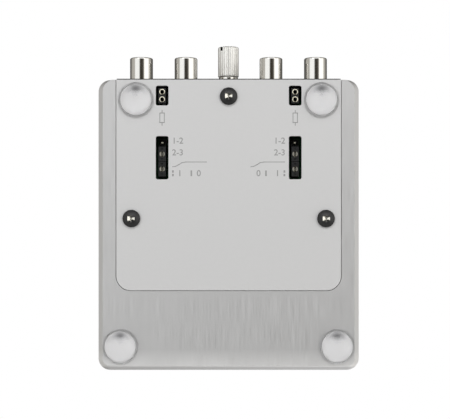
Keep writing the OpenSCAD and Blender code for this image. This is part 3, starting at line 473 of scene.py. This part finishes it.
def lathe(tree, profile, steps, radiusFactor=None):
    # turns a profile of (radius, height) round Z; radiusFactor may scale the radius by angle and row
    def fromProfile(angle, row):
        pick = add(tree, "GeometryNodeIndexSwitch", data_type="VECTOR")
        while len(pick.index_switch_items) < len(profile):
            pick.index_switch_items.new()
        feed(tree, pick.inputs["Index"], row)
        for number, point in enumerate(profile):
            tree.links.new(vector(tree, point[0], 0.0, point[1]), pick.inputs[number + 1])
        radius, _, height = parted(tree, pick.outputs[0])
        if radiusFactor:
            radius = radius * radiusFactor(angle, row)
        return radius, height

    return turned(tree, len(profile), steps, fromProfile)


def ownPlace(tree):  # x, y and z of each point
    return parted(tree, add(tree, "GeometryNodeInputPosition").outputs[0])


def storeMark(tree, shape, name, value, domain="FACE"):
    made = add(tree, "GeometryNodeStoreNamedAttribute", {"Geometry": shape, "Name": name, "Value": value},
               domain=domain)
    return made.outputs[0]


def cutOut(tree, body, cutter, crossing=False):  # crossing: the cutter's own parts overlap
    cut = add(tree, "GeometryNodeMeshBoolean", {"Mesh 1": body, "Self Intersection": crossing},
              solver="EXACT", operation="DIFFERENCE")
    tree.links.new(cutter, cut.inputs["Mesh 2"])
    return cut.outputs[0]


def middleOf(name):
    low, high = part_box(name)
    return (low + high) / 2


def startAndLength(name):  # of a turned piece that lies along Y
    middle, (low, high) = middleOf(name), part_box(name)
    return (middle.x, low.y, middle.z), high.y - low.y


# Clear feet: domes with a white round pad set under their upper face
footSizes = {"radius": 5.875 * mm, "height": 3.5 * mm, "edge": 0.5 * mm, "flat": 0.15 * mm,
             "round": 0.12 * mm, "sunk": 0.01 * mm, "steps": {"rows": 16, "round": 96, "reach": 0.86}}
padSizes = {"radius": 4.75 * mm, "bottomShare": 0.98, "bottom": 3.3 * mm, "top": 3.42 * mm,
            "shadeMiddle": 3.25 * mm, "shadeWidth": 1.45 * mm, "shadeTurn": 0.62,
            "steps": {"rings": 12, "round": 72}}
footNodes = ["rear_left_foot", "rear_right_foot", "front_left_foot", "front_right_foot"]


def makeFeet():
    tree, points, size = newShape("clear_dome", footSizes)
    steps = footSizes["steps"]
    rise = size["height"] - size["edge"] + size["flat"]
    curve = (size["radius"] * size["radius"] + rise * rise) / (rise * 2)
    top = size["height"] + size["sunk"]
    profile = [(0.0, top), (size["radius"] - size["round"], top), (size["radius"], top - size["round"]),
               (size["radius"], size["height"] - size["edge"])]
    for row in range(1, steps["rows"] + 1):  # from the edge to the flat it stands on
        radius = size["radius"] * math.cos(row / steps["rows"] * math.pi / 2 * steps["reach"])
        fall = calc(tree, "SQRT", curve * curve - radius * radius)
        profile.append((radius, calc(tree, "MAXIMUM", curve - size["flat"] - fall, 0.0)))
    profile.append((0.0, 0.0))
    closeShape(tree, points, lathe(tree, profile, steps["round"]), "clear_foot")
    places = [(middleOf(n).x, middleOf(n).y, 0) for n in footNodes]
    grown("clear_feet", tree, places, footSizes, "chassis", "clear_foot", *footNodes)

    tree, points, size = newShape("round_pad", padSizes)
    steps = padSizes["steps"]
    profile = [(size["radius"] * size["bottomShare"] * (ring / steps["rings"]), size["bottom"])
               for ring in range(steps["rings"] + 1)]
    profile += [(size["radius"], size["top"]), (0.0, size["top"])]
    disc = lathe(tree, profile, steps["round"])
    x, y, _ = ownPlace(tree)
    ring = (calc(tree, "SQRT", x * x + y * y) - size["shadeMiddle"]) / size["shadeWidth"]
    turn = calc(tree, "ARCTAN2", x, y) / size["shadeTurn"]  # 0 towards the rear
    shade = calc(tree, "EXPONENT", -(ring * ring + turn * turn))
    closeShape(tree, points, storeMark(tree, disc, "shade", shade, "POINT"), "foot_pad")
    grown("foot_pads", tree, places, padSizes, "chassis", "clear_foot")


makeFeet()

# Case screws: pan heads with a cross recess whose sloping floor is worn bright
screwSizes = {"head": 2.95 * mm, "headHeight": 1.9 * mm, "rim": 0.6 * mm, "thread": 1.5 * mm,
              "length": 6.0 * mm, "slotDepth": 0.78 * mm, "slotSlope": math.tan(math.radians(27)),
              "slotBottom": 0.05 * mm, "pinch": 0.28, "overrun": 0.4 * mm,
              "steps": {"dome": 9, "round": 64},
              "bars": [dict(turn=90, width=0.95 * mm, bare=0.14), dict(turn=0, width=1.75 * mm, bare=1.0)]}


def makeScrews():
    tree, points, size = newShape("case_screw", screwSizes)
    steps = screwSizes["steps"]
    domeRise = size["headHeight"] - size["rim"]
    curve = (size["head"] * size["head"] + domeRise * domeRise) / (domeRise * 2)
    profile = [(0.0, size["length"]), (size["thread"] * 0.6, size["length"]),
               (size["thread"], size["length"] - size["thread"] * 0.5), (size["thread"], 0.0),
               (size["head"], 0.0), (size["head"], -size["rim"])]
    for row in range(1, steps["dome"] + 1):
        radius = size["head"] * (1 - row / steps["dome"])
        fall = calc(tree, "SQRT", curve * curve - radius * radius)
        profile.append((radius, curve - size["headHeight"] - fall))
    body = lathe(tree, profile, steps["round"])
    # each bar of the cross is a boat: long at the mouth, short at the bottom, and narrow in the middle
    deep = size["slotDepth"] - size["headHeight"]
    out = -size["headHeight"] - size["overrun"]
    cross = add(tree, "GeometryNodeJoinGeometry")
    for bar in screwSizes["bars"]:
        block = add(tree, "GeometryNodeMeshCube", {"Size": (1, 1, 1), "Vertices X": 3})
        x, y, z = ownPlace(tree)
        height = out + (z + 0.5) * (deep - out)
        half = size["slotBottom"] + (deep - height) / size["slotSlope"]
        ends = calc(tree, "ABSOLUTE", x) * 2
        width = (size["pinch"] + (1.0 - size["pinch"]) * ends) * bar["width"]
        shaped = vector(tree, x * half * 2, y * width, height)
        boat = add(tree, "GeometryNodeSetPosition", {"Geometry": block.outputs["Mesh"], "Position": shaped})
        turn = add(tree, "GeometryNodeTransform", {"Geometry": boat.outputs[0],
                                                   "Rotation": (0, 0, math.radians(bar["turn"]))})
        tree.links.new(storeMark(tree, turn.outputs[0], "recess", bar["bare"]), cross.inputs[0])
    cut = cutOut(tree, body, cross.outputs[0], crossing=True)
    closeShape(tree, points, cut, "screw_black")
    low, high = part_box("case_screws")
    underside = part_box("base_plate")[0].z
    inset = screwSizes["head"]
    sideY = low.y + inset
    places = [(low.x + inset, sideY, underside), (high.x - inset, sideY, underside),
              (0, high.y - inset, underside)]
    grown("case_screw_set", tree, places, screwSizes, "chassis", "screw_black", "case_screws")


makeScrews()

# Phono socket barrels: thin nickelled tubes with a rolled lip
barrelSizes = {"radius": 4.0 * mm, "wall": 0.7 * mm, "root": 4.4 * mm, "tube": 8.0 * mm, "lip": 0.5 * mm,
               "steps": {"lip": 5, "round": 96}}


def makeBarrels():
    names = [s + "_barrel" for s in sockets]
    places, lengths = zip(*[startAndLength(n) for n in names])
    sizes = dict(barrelSizes, length=lengths[0])
    tree, points, size = newShape("socket_barrel", sizes)
    steps = barrelSizes["steps"]
    inner = size["radius"] - size["wall"]
    end = size["length"]
    shoulder = end - size["tube"]
    profile = [(inner, 0.0), (size["root"], 0.0), (size["root"], shoulder), (size["radius"], shoulder)]
    for row in range(steps["lip"] + 1):  # the rolled lip
        turn = row / steps["lip"] * math.pi / 2
        profile.append((size["radius"] - size["lip"] * (1 - math.cos(turn)),
                        end - size["lip"] * (1 - math.sin(turn))))
    profile += [(inner + size["wall"] * 0.2, end), (inner, end - size["wall"] * 0.25), (inner, 0.0)]
    closeShape(tree, points, lathe(tree, profile, steps["round"]), "socket_nickel", alongY)
    grown("socket_barrels", tree, places, sizes, "chassis", "socket_nickel", *names)


makeBarrels()

# Earth terminal nut: rounded ridges, a closed end and a slot across it
nutSizes = {"radius": 3.725 * mm, "ridges": 22, "depth": 0.18 * mm, "bevel": 0.35 * mm, "bore": 2.06 * mm,
            "floor": 2.5 * mm, "slotWidth": 0.9 * mm, "slotDepth": 1.5 * mm, "slotTurn": math.radians(-41),
            "steps": {"perRidge": 14, "firstRow": 1.5, "lastRow": 10.5, "grooveSharpness": 2.2}}


def makeNut():
    place, fullLength = startAndLength("ground_nut")
    sizes = dict(nutSizes, length=fullLength)
    tree, points, size = newShape("ridged_nut", sizes)
    steps = nutSizes["steps"]
    radius, length, bevel = size["radius"], size["length"], size["bevel"]
    profile = [(size["bore"], 0.0), (radius - bevel, 0.0)]
    for share in (0.35, 0.75, 1.0):
        profile.append((radius - bevel * (1 - share), bevel * share))
    for share in (0.25, 0.5, 0.75):
        profile.append((radius, length * share))
    for share in (1.0, 0.75, 0.35, 0.0):
        profile.append((radius - bevel * (1 - share), length - bevel * share))
    profile += [(size["bore"], length), (0.0, length)]
    profile += [(0.0, length - size["floor"]), (size["bore"], length - size["floor"]), (size["bore"], 0.0)]

    def ridged(angle, row):
        wave = calc(tree, "SINE", (angle - size["slotTurn"] - math.pi / 2) * size["ridges"] * 0.5)
        groove = calc(tree, "POWER", 1.0 - calc(tree, "ABSOLUTE", wave), steps["grooveSharpness"])
        outside = (calc(tree, "GREATER_THAN", row, steps["firstRow"])
                   * calc(tree, "LESS_THAN", row, steps["lastRow"]))
        return 1.0 - groove * outside * size["depth"] / radius

    form = lathe(tree, profile, nutSizes["ridges"] * steps["perRidge"], ridged)
    bar = add(tree, "GeometryNodeMeshCube", {
        "Size": vector(tree, size["slotWidth"], radius * 3, size["slotDepth"] * 2)})
    moved = add(tree, "GeometryNodeTransform", {"Geometry": bar.outputs[0],
                                                "Translation": vector(tree, z=length),
                                                "Rotation": vector(tree, z=size["slotTurn"])})
    # painted shade: the slot's faces are marked to be drawn dark
    cut = cutOut(tree, form, storeMark(tree, moved.outputs[0], "recess", 1.0))
    closeShape(tree, points, cut, "nut_nickel", alongY)
    grown("earth_terminal_nut", tree, [place], sizes, "earth_nut", "terminal_nickel", "ground_nut",
          degrees=28)


makeNut()

# Earth terminal ring, with broken edges
ringSizes = {"radius": 3.45 * mm, "edge": 0.22 * mm, "soft": 0.077 * mm, "bore": 2.06 * mm,
             "steps": {"round": 96}}


def makeRing():
    place, fullLength = startAndLength("ground_ring")
    sizes = dict(ringSizes, length=fullLength)
    tree, points, size = newShape("clamp_ring", sizes)
    radius, length, edge, soft = size["radius"], size["length"], size["edge"], size["soft"]
    profile = [(size["bore"], 0.0), (radius - edge, 0.0), (radius - soft, soft), (radius, edge),
               (radius, length - edge), (radius - soft, length - soft), (radius - edge, length),
               (size["bore"], length), (size["bore"], 0.0)]
    ring = lathe(tree, profile, ringSizes["steps"]["round"])
    closeShape(tree, points, ring, "terminal_nickel", alongY)
    grown("earth_terminal_ring", tree, [place], sizes, "earth_ring", "terminal_nickel", "ground_ring",
          degrees=25)


makeRing()

# Earth terminal post: a thread cut as a true helix, and the fixed collar on the panel
postSizes = {"radius": 2.0 * mm, "pitch": 0.7 * mm, "threadDepth": 0.3 * mm, "core": 1.6 * mm,
             "collar": 3.5 * mm, "edge": 0.2 * mm,
             "steps": {"round": 24, "perTurn": 8, "fadeRows": 6.0, "collarRound": 72}}


def makePost():
    place, fullLength = startAndLength("ground_post")
    steps = postSizes["steps"]
    rows = int(round(fullLength / postSizes["pitch"] * steps["perTurn"]))
    sizes = dict(postSizes, length=fullLength, collarStart=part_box("rear_panel")[1].y - place[1],
                 collarEnd=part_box("ground_ring")[0].y - place[1])
    tree, points, size = newShape("threaded_post", sizes)
    step = size["length"] / rows

    def coil(angle, row):
        # a triangular thread that dies out at both ends; the first and last rows close them
        turns = (row * step) / size["pitch"] - angle / (2 * math.pi)
        share = calc(tree, "FRACT", turns + 50.0)  # 50 keeps it above zero
        tooth = calc(tree, "ABSOLUTE", share * 2 - 1.0)
        ends = calc(tree, "GREATER_THAN", row, 0.5) * calc(tree, "LESS_THAN", row, rows + 0.5)
        fade = steps["fadeRows"]
        point = calc(tree, "MINIMUM", calc(tree, "MINIMUM", row / fade, (rows + 1.0 - row) / fade), 1.0)
        radius = ends * (size["radius"] - size["threadDepth"] * calc(tree, "MAXIMUM", tooth, 1.0 - point))
        height = calc(tree, "MINIMUM", calc(tree, "MAXIMUM", row - 0.5, 0.0) * step, size["length"])
        return radius, height

    both = add(tree, "GeometryNodeJoinGeometry")
    tree.links.new(turned(tree, rows + 2, steps["round"], coil), both.inputs[0])
    radius, edge, start, end = size["collar"], size["edge"], size["collarStart"], size["collarEnd"]
    core = size["core"]
    profile = [(core, start), (radius - edge, start), (radius, start + edge), (radius, end - edge),
               (radius - edge, end), (core, end), (core, start)]
    tree.links.new(lathe(tree, profile, steps["collarRound"]), both.inputs[0])
    closeShape(tree, points, both.outputs[0], "terminal_nickel", alongY)
    grown("earth_terminal_post", tree, [place], sizes, "chassis", "terminal_nickel", "ground_post",
          degrees=40)


makePost()
say("feet, screws, barrels and the earth terminal")

# Turned contacts in the load sockets, with a countersunk mouth
turnedSizes = {"ring": 0.97 * mm, "lip": 0.1 * mm, "bore": 0.7 * mm, "sink": 0.1 * mm,
               "body": 0.74 * mm, "depth": 3.5 * mm, "wall": 1.0 * mm, "steps": {"round": 40}}


def makeTurnedContacts():
    tree, points, size = newShape("turned_contact", turnedSizes)
    ring, lip, end = size["ring"], size["lip"], size["depth"] + size["wall"]
    profile = [(size["body"], end), (size["body"], lip * 1.5), (ring, lip * 1.5), (ring, lip * 0.8),
               (ring - lip * 0.3, lip * 0.25), (ring - lip, 0.0), (size["bore"], size["sink"]),
               (size["bore"], size["depth"]), (0.0, size["depth"]), (0.0, end), (size["body"], end)]
    shape = lathe(tree, profile, turnedSizes["steps"]["round"])
    x, y, z = ownPlace(tree)
    # painted shade: the faces in the bore are marked to be drawn black
    boreShade = calc(tree, "LESS_THAN", calc(tree, "SQRT", x * x + y * y), size["bore"] * 1.05)
    boreShade = boreShade * calc(tree, "LESS_THAN", z, end - size["wall"] * 0.5)
    closeShape(tree, points, storeMark(tree, shape, "recess", boreShade), "contact_tin")
    places = []
    for side in sides:
        low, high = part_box(side + "_load_contacts")
        for y in (low.y + turnedSizes["ring"], high.y - turnedSizes["ring"]):
            places.append(((low.x + high.x) / 2, y, low.z))
    grown("turned_contacts", tree, places, turnedSizes, "chassis", "contact_tin",
          *[s + "_load_contacts" for s in sides])


makeTurnedContacts()

# Square pins of the selectors: low pyramids at both ends
pinSizes = {"width": 0.64 * mm, "slope": math.tan(math.radians(34)), "steps": {"pins": 5}}


def makePins():
    low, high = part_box("left_selector_pins")
    sizes = dict(pinSizes, length=high.z - low.z)
    tree, points, size = newShape("square_pin", sizes)
    corner = size["width"] * math.sqrt(0.5)
    rise = size["width"] * 0.5 * size["slope"]
    profile = [(0.0, 0.0), (corner * 0.9, rise * 0.9), (corner, rise * 1.3), (corner, size["length"] - rise),
               (0.0, size["length"])]
    closeShape(tree, points, lathe(tree, profile, 4), "contact_tin", (0, 0, math.pi / 4))
    places = []
    last = pinSizes["steps"]["pins"] - 1
    for side in sides:
        low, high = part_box(side + "_selector_pins")
        half = pinSizes["width"] / 2
        for step in range(last + 1):
            y = low.y + half + (high.y - low.y - 2 * half) * step / last
            places.append(((low.x + high.x) / 2, y, low.z))
    grown("selector_pin_rows", tree, places, sizes, "chassis", "contact_tin",
          *[s + "_selector_pins" for s in sides], degrees=15)


makePins()

# Plug-on caps: a well for the pins, an oval opening over the spring and a small dimple beyond each end of it
capSizes = {"well": 1.06 * mm, "wellEnd": 0.7 * mm, "wellLength": 3.56 * mm, "opening": 0.88 * mm,
            "openingStretch": 1.12, "dimple": 0.3 * mm, "dimpleDeep": 0.35 * mm, "dimpleStep": 1.72 * mm,
            "overrun": 0.1 * mm, "steps": {"round": 28}}


def makeCap(jumper):
    low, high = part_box(jumper + "_cap")
    middle = middleOf(jumper + "_cap")
    sizes = dict(capSizes, width=high.x - low.x, length=high.y - low.y, height=high.z - low.z)
    tree, points, size = newShape("plug_cap", sizes)
    over = size["overrun"]

    def moved(shape, y, start, end, stretch=1.0):
        return add(tree, "GeometryNodeTransform", {
            "Geometry": shape, "Translation": vector(tree, 0.0, y, (start + end) * 0.5),
            "Scale": vector(tree, 1.0, stretch, 1.0)}).outputs[0]

    def block(width, length, start, end):
        made = add(tree, "GeometryNodeMeshCube", {"Size": vector(tree, width, length, end - start)})
        return moved(made.outputs["Mesh"], 0.0, start, end)

    def hole(radius, end, y=0.0, stretch=1.0):
        made = add(tree, "GeometryNodeMeshCylinder", {"Vertices": capSizes["steps"]["round"],
                                                      "Radius": radius, "Depth": end + over})
        return moved(made.outputs["Mesh"], y, -over, end, stretch)

    body = block(size["width"], size["length"], 0.0, size["height"])
    holes = [block(size["well"], size["wellLength"], size["wellEnd"], size["height"] + over),
             hole(size["opening"], size["wellEnd"] + over, stretch=size["openingStretch"])]
    for way in (-1, 1):
        holes.append(hole(size["dimple"], size["dimpleDeep"], size["dimpleStep"] * way))
    for cutter in holes:
        body = cutOut(tree, body, cutter)
    closeShape(tree, points, body, "plastic_black")
    piece = grown(jumper + "_cover", tree, [(middle.x, middle.y, low.z)], sizes, jumper + "_jumper",
                  "plastic_black", jumper + "_cap")
    breakEdges(piece, "cap")


# Spring clips: sheet folded over two pins, with a dished eyelet in its fold that shows in the cap's opening;
# the eyelet's rings are (half width, half length, height) in mm, and between those in "hole" it is painted
# dark as shade
clipSizes = {"sheet": 0.16 * mm, "bend": 0.4 * mm, "steps": {"bend": 14, "round": 40},
             "eyelet": [(0.86, 0.95, -0.42), (0.7, 0.9, -0.36), (0.5, 0.8, -0.26), (0.36, 0.7, -0.16),
                        (0.28, 0.6, 0.0), (0.27, 0.55, 0.3), (0.0, 0.0, 0.3), (0.0, 0.0, 0.4),
                        (0.38, 0.65, 0.4), (0.42, 0.72, -0.04), (0.6, 0.85, -0.18), (0.86, 0.95, -0.3),
                        (0.86, 0.95, -0.42)],
             "hole": range(4, 6)}


def foldedOutline(low, high, half):
    # (x, z) round the folded sheet: down its outer face and back along its inner one
    outline = []
    for thin, order in ((0.0, 1), (clipSizes["sheet"], -1)):
        leg, bend = half - thin, clipSizes["bend"]
        curve = [(-leg, high)]
        for step in range(clipSizes["steps"]["bend"] + 1):
            turn = math.pi * step / clipSizes["steps"]["bend"]
            curve.append((-leg * math.cos(turn), low + bend - (bend - thin) * math.sin(turn)))
        curve.append((leg, high))
        outline += curve[::order]
    return outline


def makeClip(jumper):
    low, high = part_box(jumper + "_clip")
    middle = middleOf(jumper + "_clip")
    outline = foldedOutline(low.z, high.z, (high.x - low.x) / 2)
    form = bmesh.new()
    recess = form.faces.layers.float.new("recess")
    ends = [[form.verts.new((middle.x + x, y, z)) for x, z in outline] for y in (low.y, high.y)]
    count = len(outline)
    for i in range(count):
        form.faces.new((ends[0][i], ends[0][(i + 1) % count], ends[1][(i + 1) % count], ends[1][i]))
    for i in range(count // 2 - 1):  # the sheet's two cut edges, one quad at a time
        for end in ends:
            form.faces.new((end[i], end[i + 1], end[count - 2 - i], end[count - 1 - i]))
    rings = []
    for wide, long, rise in clipSizes["eyelet"]:
        rings.append([])
        for step in range(clipSizes["steps"]["round"]):
            turn = 2 * math.pi * step / clipSizes["steps"]["round"]
            rings[-1].append(form.verts.new((middle.x + wide * mm * math.cos(turn),
                                             middle.y + long * mm * math.sin(turn), low.z + rise * mm)))
    for number, (first, second) in enumerate(zip(rings, rings[1:])):
        for i in range(clipSizes["steps"]["round"]):
            face = form.faces.new((first[i - 1], first[i], second[i], second[i - 1]))
            face[recess] = 1.0 if number in clipSizes["hole"] else 0.0
    bmesh.ops.remove_doubles(form, verts=form.verts, dist=weld)
    bmesh.ops.recalc_face_normals(form, faces=form.faces)
    mesh = meshOf(form, jumper + "_spring")
    smoothByAngle(mesh, 40)
    # painted shade: the clip is drawn in the darker copy of the tin plating
    mesh.materials.append(looks["spring_sheet"])
    newPiece(jumper + "_spring", mesh, jumper + "_jumper", "contact_tin", jumper + "_clip")


for jumper in jumpers:
    makeCap(jumper)
    makeClip(jumper)
say("pins, contacts, caps and clips")

# Plain marks etched beside the windows: pin numbers, a filter curve and a resistor's outline.
# The curve's points, the uprights (away, from, to, width) and the resistor's rows are in mm.
markSizes = {"letter": 2.9 * mm, "line": 0.25 * mm, "proud": 0.01 * mm, "bold": 0.03 * mm,
             "besidePins": 3.35 * mm, "firstRow": 4.75 * mm, "rowStep": 3.95 * mm, "curveRow": 7.8 * mm,
             "curve": [(0.2, 0), (1.2, 0.15), (2.3, 0.7), (3.3, 1.35), (4.6, 1.6), (11.6, 1.6)],
             "curveWidth": 11.8 * mm, "lastRow": 10.9525 * mm, "numbers": {"1": 1.9 * mm, "0": 8.3 * mm},
             "uprights": [(0.3, 0.25, 0.45, 0.6), (0.3, 1.45, 1.65, 0.6), (6.5, 0.25, 1.65, 0.51)],
             "resistor": [5.0, 5.9, 9.1, 10.0], "resistorWidth": 0.75 * mm}


def strokeMesh(form, points, width, z):
    # a flat line of even width along a polyline, with a little thickness
    for a, b in zip(points, points[1:]):
        start, end = Vector((*a, 0)), Vector((*b, 0))
        along = (end - start).normalized() * width / 2
        across = Vector((-along.y, along.x, 0))
        corners = [start - along + across, start - along - across, end + along - across, end + along + across]
        rings = [[form.verts.new((c.x, c.y, h)) for c in corners] for h in (z - markSizes["proud"], z)]
        form.faces.new(rings[0])
        form.faces.new(rings[1][::-1])
        for i in range(4):
            form.faces.new((rings[0][i], rings[1][i], rings[1][(i + 1) % 4], rings[0][(i + 1) % 4]))


def letterMesh(form, words, x, y, z, align):
    # words read from below: the left of the text lies towards +X
    curve = bpy.data.curves.new("mark", "FONT")
    curve.body = words
    curve.size = markSizes["letter"]
    curve.align_x = align
    curve.extrude = markSizes["proud"] / 2
    curve.offset = markSizes["bold"]
    flat = plainMesh(addObject("mark", curve))
    flat.transform(Matrix.Translation((x, y, z - markSizes["proud"] / 2)) @ Matrix.Rotation(math.pi, 4, "Y"))
    form.from_mesh(flat)
    bpy.data.meshes.remove(flat)


def makeMarks():
    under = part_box("base_plate")[0].z
    form = bmesh.new()
    line = markSizes["line"]
    for side, inward in (("left", 1), ("right", -1)):
        middle = middleOf(side + "_selector_pins")
        edge = middle.x + inward * markSizes["besidePins"]
        align = "RIGHT" if inward > 0 else "LEFT"  # seen from below, +X is on the left
        top = middle.y + markSizes["firstRow"]
        for row, words in enumerate(("1-2", "2-3")):
            letterMesh(form, words, edge, top - row * markSizes["rowStep"], under, align)
        curveY = top - markSizes["curveRow"]
        slope = [(edge + inward * x * mm, curveY + y * mm) for x, y in markSizes["curve"]]
        if inward > 0:  # the curve rises the same way on both sides
            slope = [(2 * edge + markSizes["curveWidth"] - x, y) for x, y in slope]
        strokeMesh(form, slope, line, under)
        low = top - markSizes["lastRow"]
        for away, start, end, width in markSizes["uprights"]:
            x = edge + inward * away * mm
            strokeMesh(form, [(x, low + start * mm), (x, low + end * mm)], width * mm, under)
        for words, away in markSizes["numbers"].items():
            letterMesh(form, words, edge + inward * away, low, under, align)
        load = middleOf(side + "_load_contacts")
        rows = [load.y - row * mm for row in markSizes["resistor"]]
        for start, end in (rows[:2], rows[2:]):
            strokeMesh(form, [(load.x, start), (load.x, end)], line, under)
        left, right = load.x - markSizes["resistorWidth"], load.x + markSizes["resistorWidth"]
        strokeMesh(form, [(left, rows[1]), (right, rows[1]), (right, rows[2]), (left, rows[2]),
                          (left, rows[1])], line, under)
    bmesh.ops.recalc_face_normals(form, faces=form.faces)
    mesh = meshOf(form, "plate_marks")
    mesh.materials.clear()
    mesh.materials.append(looks["etched_mark"])
    newPiece("plate_marks", mesh, "chassis", "plate_aluminium")


makeMarks()
say("etched marks")


# Camera, floor and light

# lens and sensor in mm, distance and aim in metres
cameraView = {"sensor": 36.0, "lens": 83.14, "distance": 350 * mm, "aim": (1.23 * mm, -1.95 * mm)}
floorLook = {"reach": 4.0, "colour": (0.92, 0.92, 0.92)}


def makeCamera():
    data = bpy.data.cameras.new("camera")
    data.sensor_width = cameraView["sensor"]
    data.lens = cameraView["lens"]
    data.clip_start = 0.01
    camera = addObject("camera", data)
    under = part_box("base_plate")[0].z
    camera.location = (*cameraView["aim"], under - cameraView["distance"])
    camera.rotation_euler = (0, math.pi, 0)  # looks straight up at the underside
    scene.camera = camera


def makeFloor():
    # only cameras see it, and only from above, because the photograph's camera is under it
    far = floorLook["reach"]
    mesh = bpy.data.meshes.new("floor")
    mesh.from_pydata([(-far, -far, 0), (far, -far, 0), (far, far, 0), (-far, far, 0)], [], [(0, 1, 2, 3)])
    floor = addObject("floor", mesh)
    material, tree = newFinish("pale_floor")
    camera = add(tree, "ShaderNodeLightPath").outputs["Is Camera Ray"]
    front = calc(tree, "SUBTRACT", 1.0, add(tree, "ShaderNodeNewGeometry").outputs["Backfacing"])
    pale = add(tree, "ShaderNodeBsdfDiffuse", {"Color": (*floorLook["colour"], 1)})
    through = add(tree, "ShaderNodeBsdfTransparent")
    mixed = add(tree, "ShaderNodeMixShader", {0: front * camera, 1: through.outputs[0], 2: pale.outputs[0]})
    add(tree, "ShaderNodeOutputMaterial", {"Surface": mixed.outputs[0]})
    mesh.materials.append(material)


# What lights the part, by direction, in degrees: across is 0 straight down, 90 level on the left (+X) and
# -90 level on the right; along is 90 straight to the rear. Stops of the sky are (angle from down, colour).
skyStops = [(0, (0.045, 0.041, 0.033)), (14, (0.05, 0.045, 0.036)), (30, (0.25, 0.24, 0.22)),
            (60, (0.42, 0.405, 0.375)), (93, (0.56, 0.545, 0.51)), (109, (0.37, 0.36, 0.34)),
            (128, (0.12, 0.115, 0.105)), (180, (0.08, 0.08, 0.08))]
skyBoxes = [
    dict(across=(15.5, 66), along=(-30, 29), blur=12, colour=(1.10, 1.115, 1.12)),
    dict(across=(-82, -31), along=(-26, 29), blur=11, colour=(1.37, 1.355, 1.33)),
    dict(across=(-44, 44), along=(25, 54), blur=8, colour=(2.5, 2.5, 2.51)),
    dict(across=(-60, 60), along=(-72, -46), blur=12, colour=(0.75, 0.74, 0.73)),
]
skyEnds = [dict(start=-55, end=-85, colour=(0.45, 0.45, 0.45)),
           dict(start=60, end=80, colour=(0.12, 0.12, 0.115))]
skyTilt = -0.01  # share by which the sky brightens towards +X


def makeWorld():
    # the camera sees white; the part sees a sky that is dark below and above, with four soft boxes in it
    world = bpy.data.worlds.new("studio")
    scene.world = world
    world.use_nodes = True
    tree = world.node_tree
    tree.nodes.clear()
    camera = add(tree, "ShaderNodeLightPath").outputs["Is Camera Ray"]
    direction = add(tree, "ShaderNodeTexCoord").outputs["Generated"]
    x, y, z = parted(tree, direction)
    degrees = 180 / math.pi
    across = calc(tree, "ARCTAN2", x, -z) * degrees
    along = calc(tree, "ARCSINE", y) * degrees
    ramp = add(tree, "ShaderNodeValToRGB", {0: calc(tree, "ABSOLUTE", across) / 180.0})
    stops = ramp.color_ramp.elements
    while len(stops) < len(skyStops):
        stops.new(0.5)
    for stop, (angle, colour) in zip(stops, skyStops):
        stop.position = angle / 180
        stop.color = (*colour, 1)
    tilt = add(tree, "ShaderNodeVectorMath", {0: ramp.outputs[0], "Scale": 1.0 + x * skyTilt},
               operation="SCALE")
    sky = tilt.outputs[0]
    for end in skyEnds:
        sky = tinted(tree, spread(tree, along, 0, 1, end["start"], end["end"]), sky, end["colour"])
    for box in skyBoxes:
        half = box["blur"] / 2
        window = 1.0
        for value, (low, high) in ((across, box["across"]), (along, box["along"])):
            rise = spread(tree, value, 0, 1, low - half, low + half)
            fall = spread(tree, value, 1, 0, high - half, high + half)
            window = rise * fall * window
        sky = tinted(tree, window, sky, box["colour"])
    soft = add(tree, "ShaderNodeBackground", {"Color": sky, "Strength": 1.0})
    white = add(tree, "ShaderNodeBackground", {"Color": (1, 1, 1, 1), "Strength": 1.0})
    mixed = add(tree, "ShaderNodeMixShader", {0: camera, 1: soft.outputs[0], 2: white.outputs[0]})
    add(tree, "ShaderNodeOutputWorld", {"Surface": mixed.outputs[0]})


# lamps for the views from above: place and size in metres, glow as the brightness of the lit face, and
# mirrored where polished metal shows the lamp
softboxes = {
    "top_front": dict(place=(-0.35, -0.75, 0.75), size=(0.9, 0.7), glow=2.7, mirrored=True),
    "top_rear": dict(place=(-0.5, 0.65, 0.65), size=(0.6, 0.4), glow=4.5, mirrored=False),
}
overhead = {"strength": 0.9, "spread": math.radians(70)}


def makeLight(name, place, size, glow, mirrored):
    data = bpy.data.lights.new(name, "AREA")
    data.shape = "RECTANGLE"
    data.size, data.size_y = size
    data.energy = glow * math.pi * size[0] * size[1]
    light = addObject(name, data)
    light.location = place
    light.rotation_euler = (-Vector(place)).to_track_quat("-Z", "Y").to_euler()
    light.visible_camera = False
    light.visible_glossy = mirrored


def makeOverhead():
    # an even light from straight above that lifts the floor and shows in no metal
    data = bpy.data.lights.new("overhead", "SUN")
    data.energy = overhead["strength"]
    data.angle = overhead["spread"]
    addObject("overhead", data).visible_glossy = False


makeCamera()
makeFloor()
makeWorld()
for name, values in softboxes.items():
    makeLight(name, **values)
makeOverhead()
scene.view_settings.view_transform = "Standard"
say("camera and light")
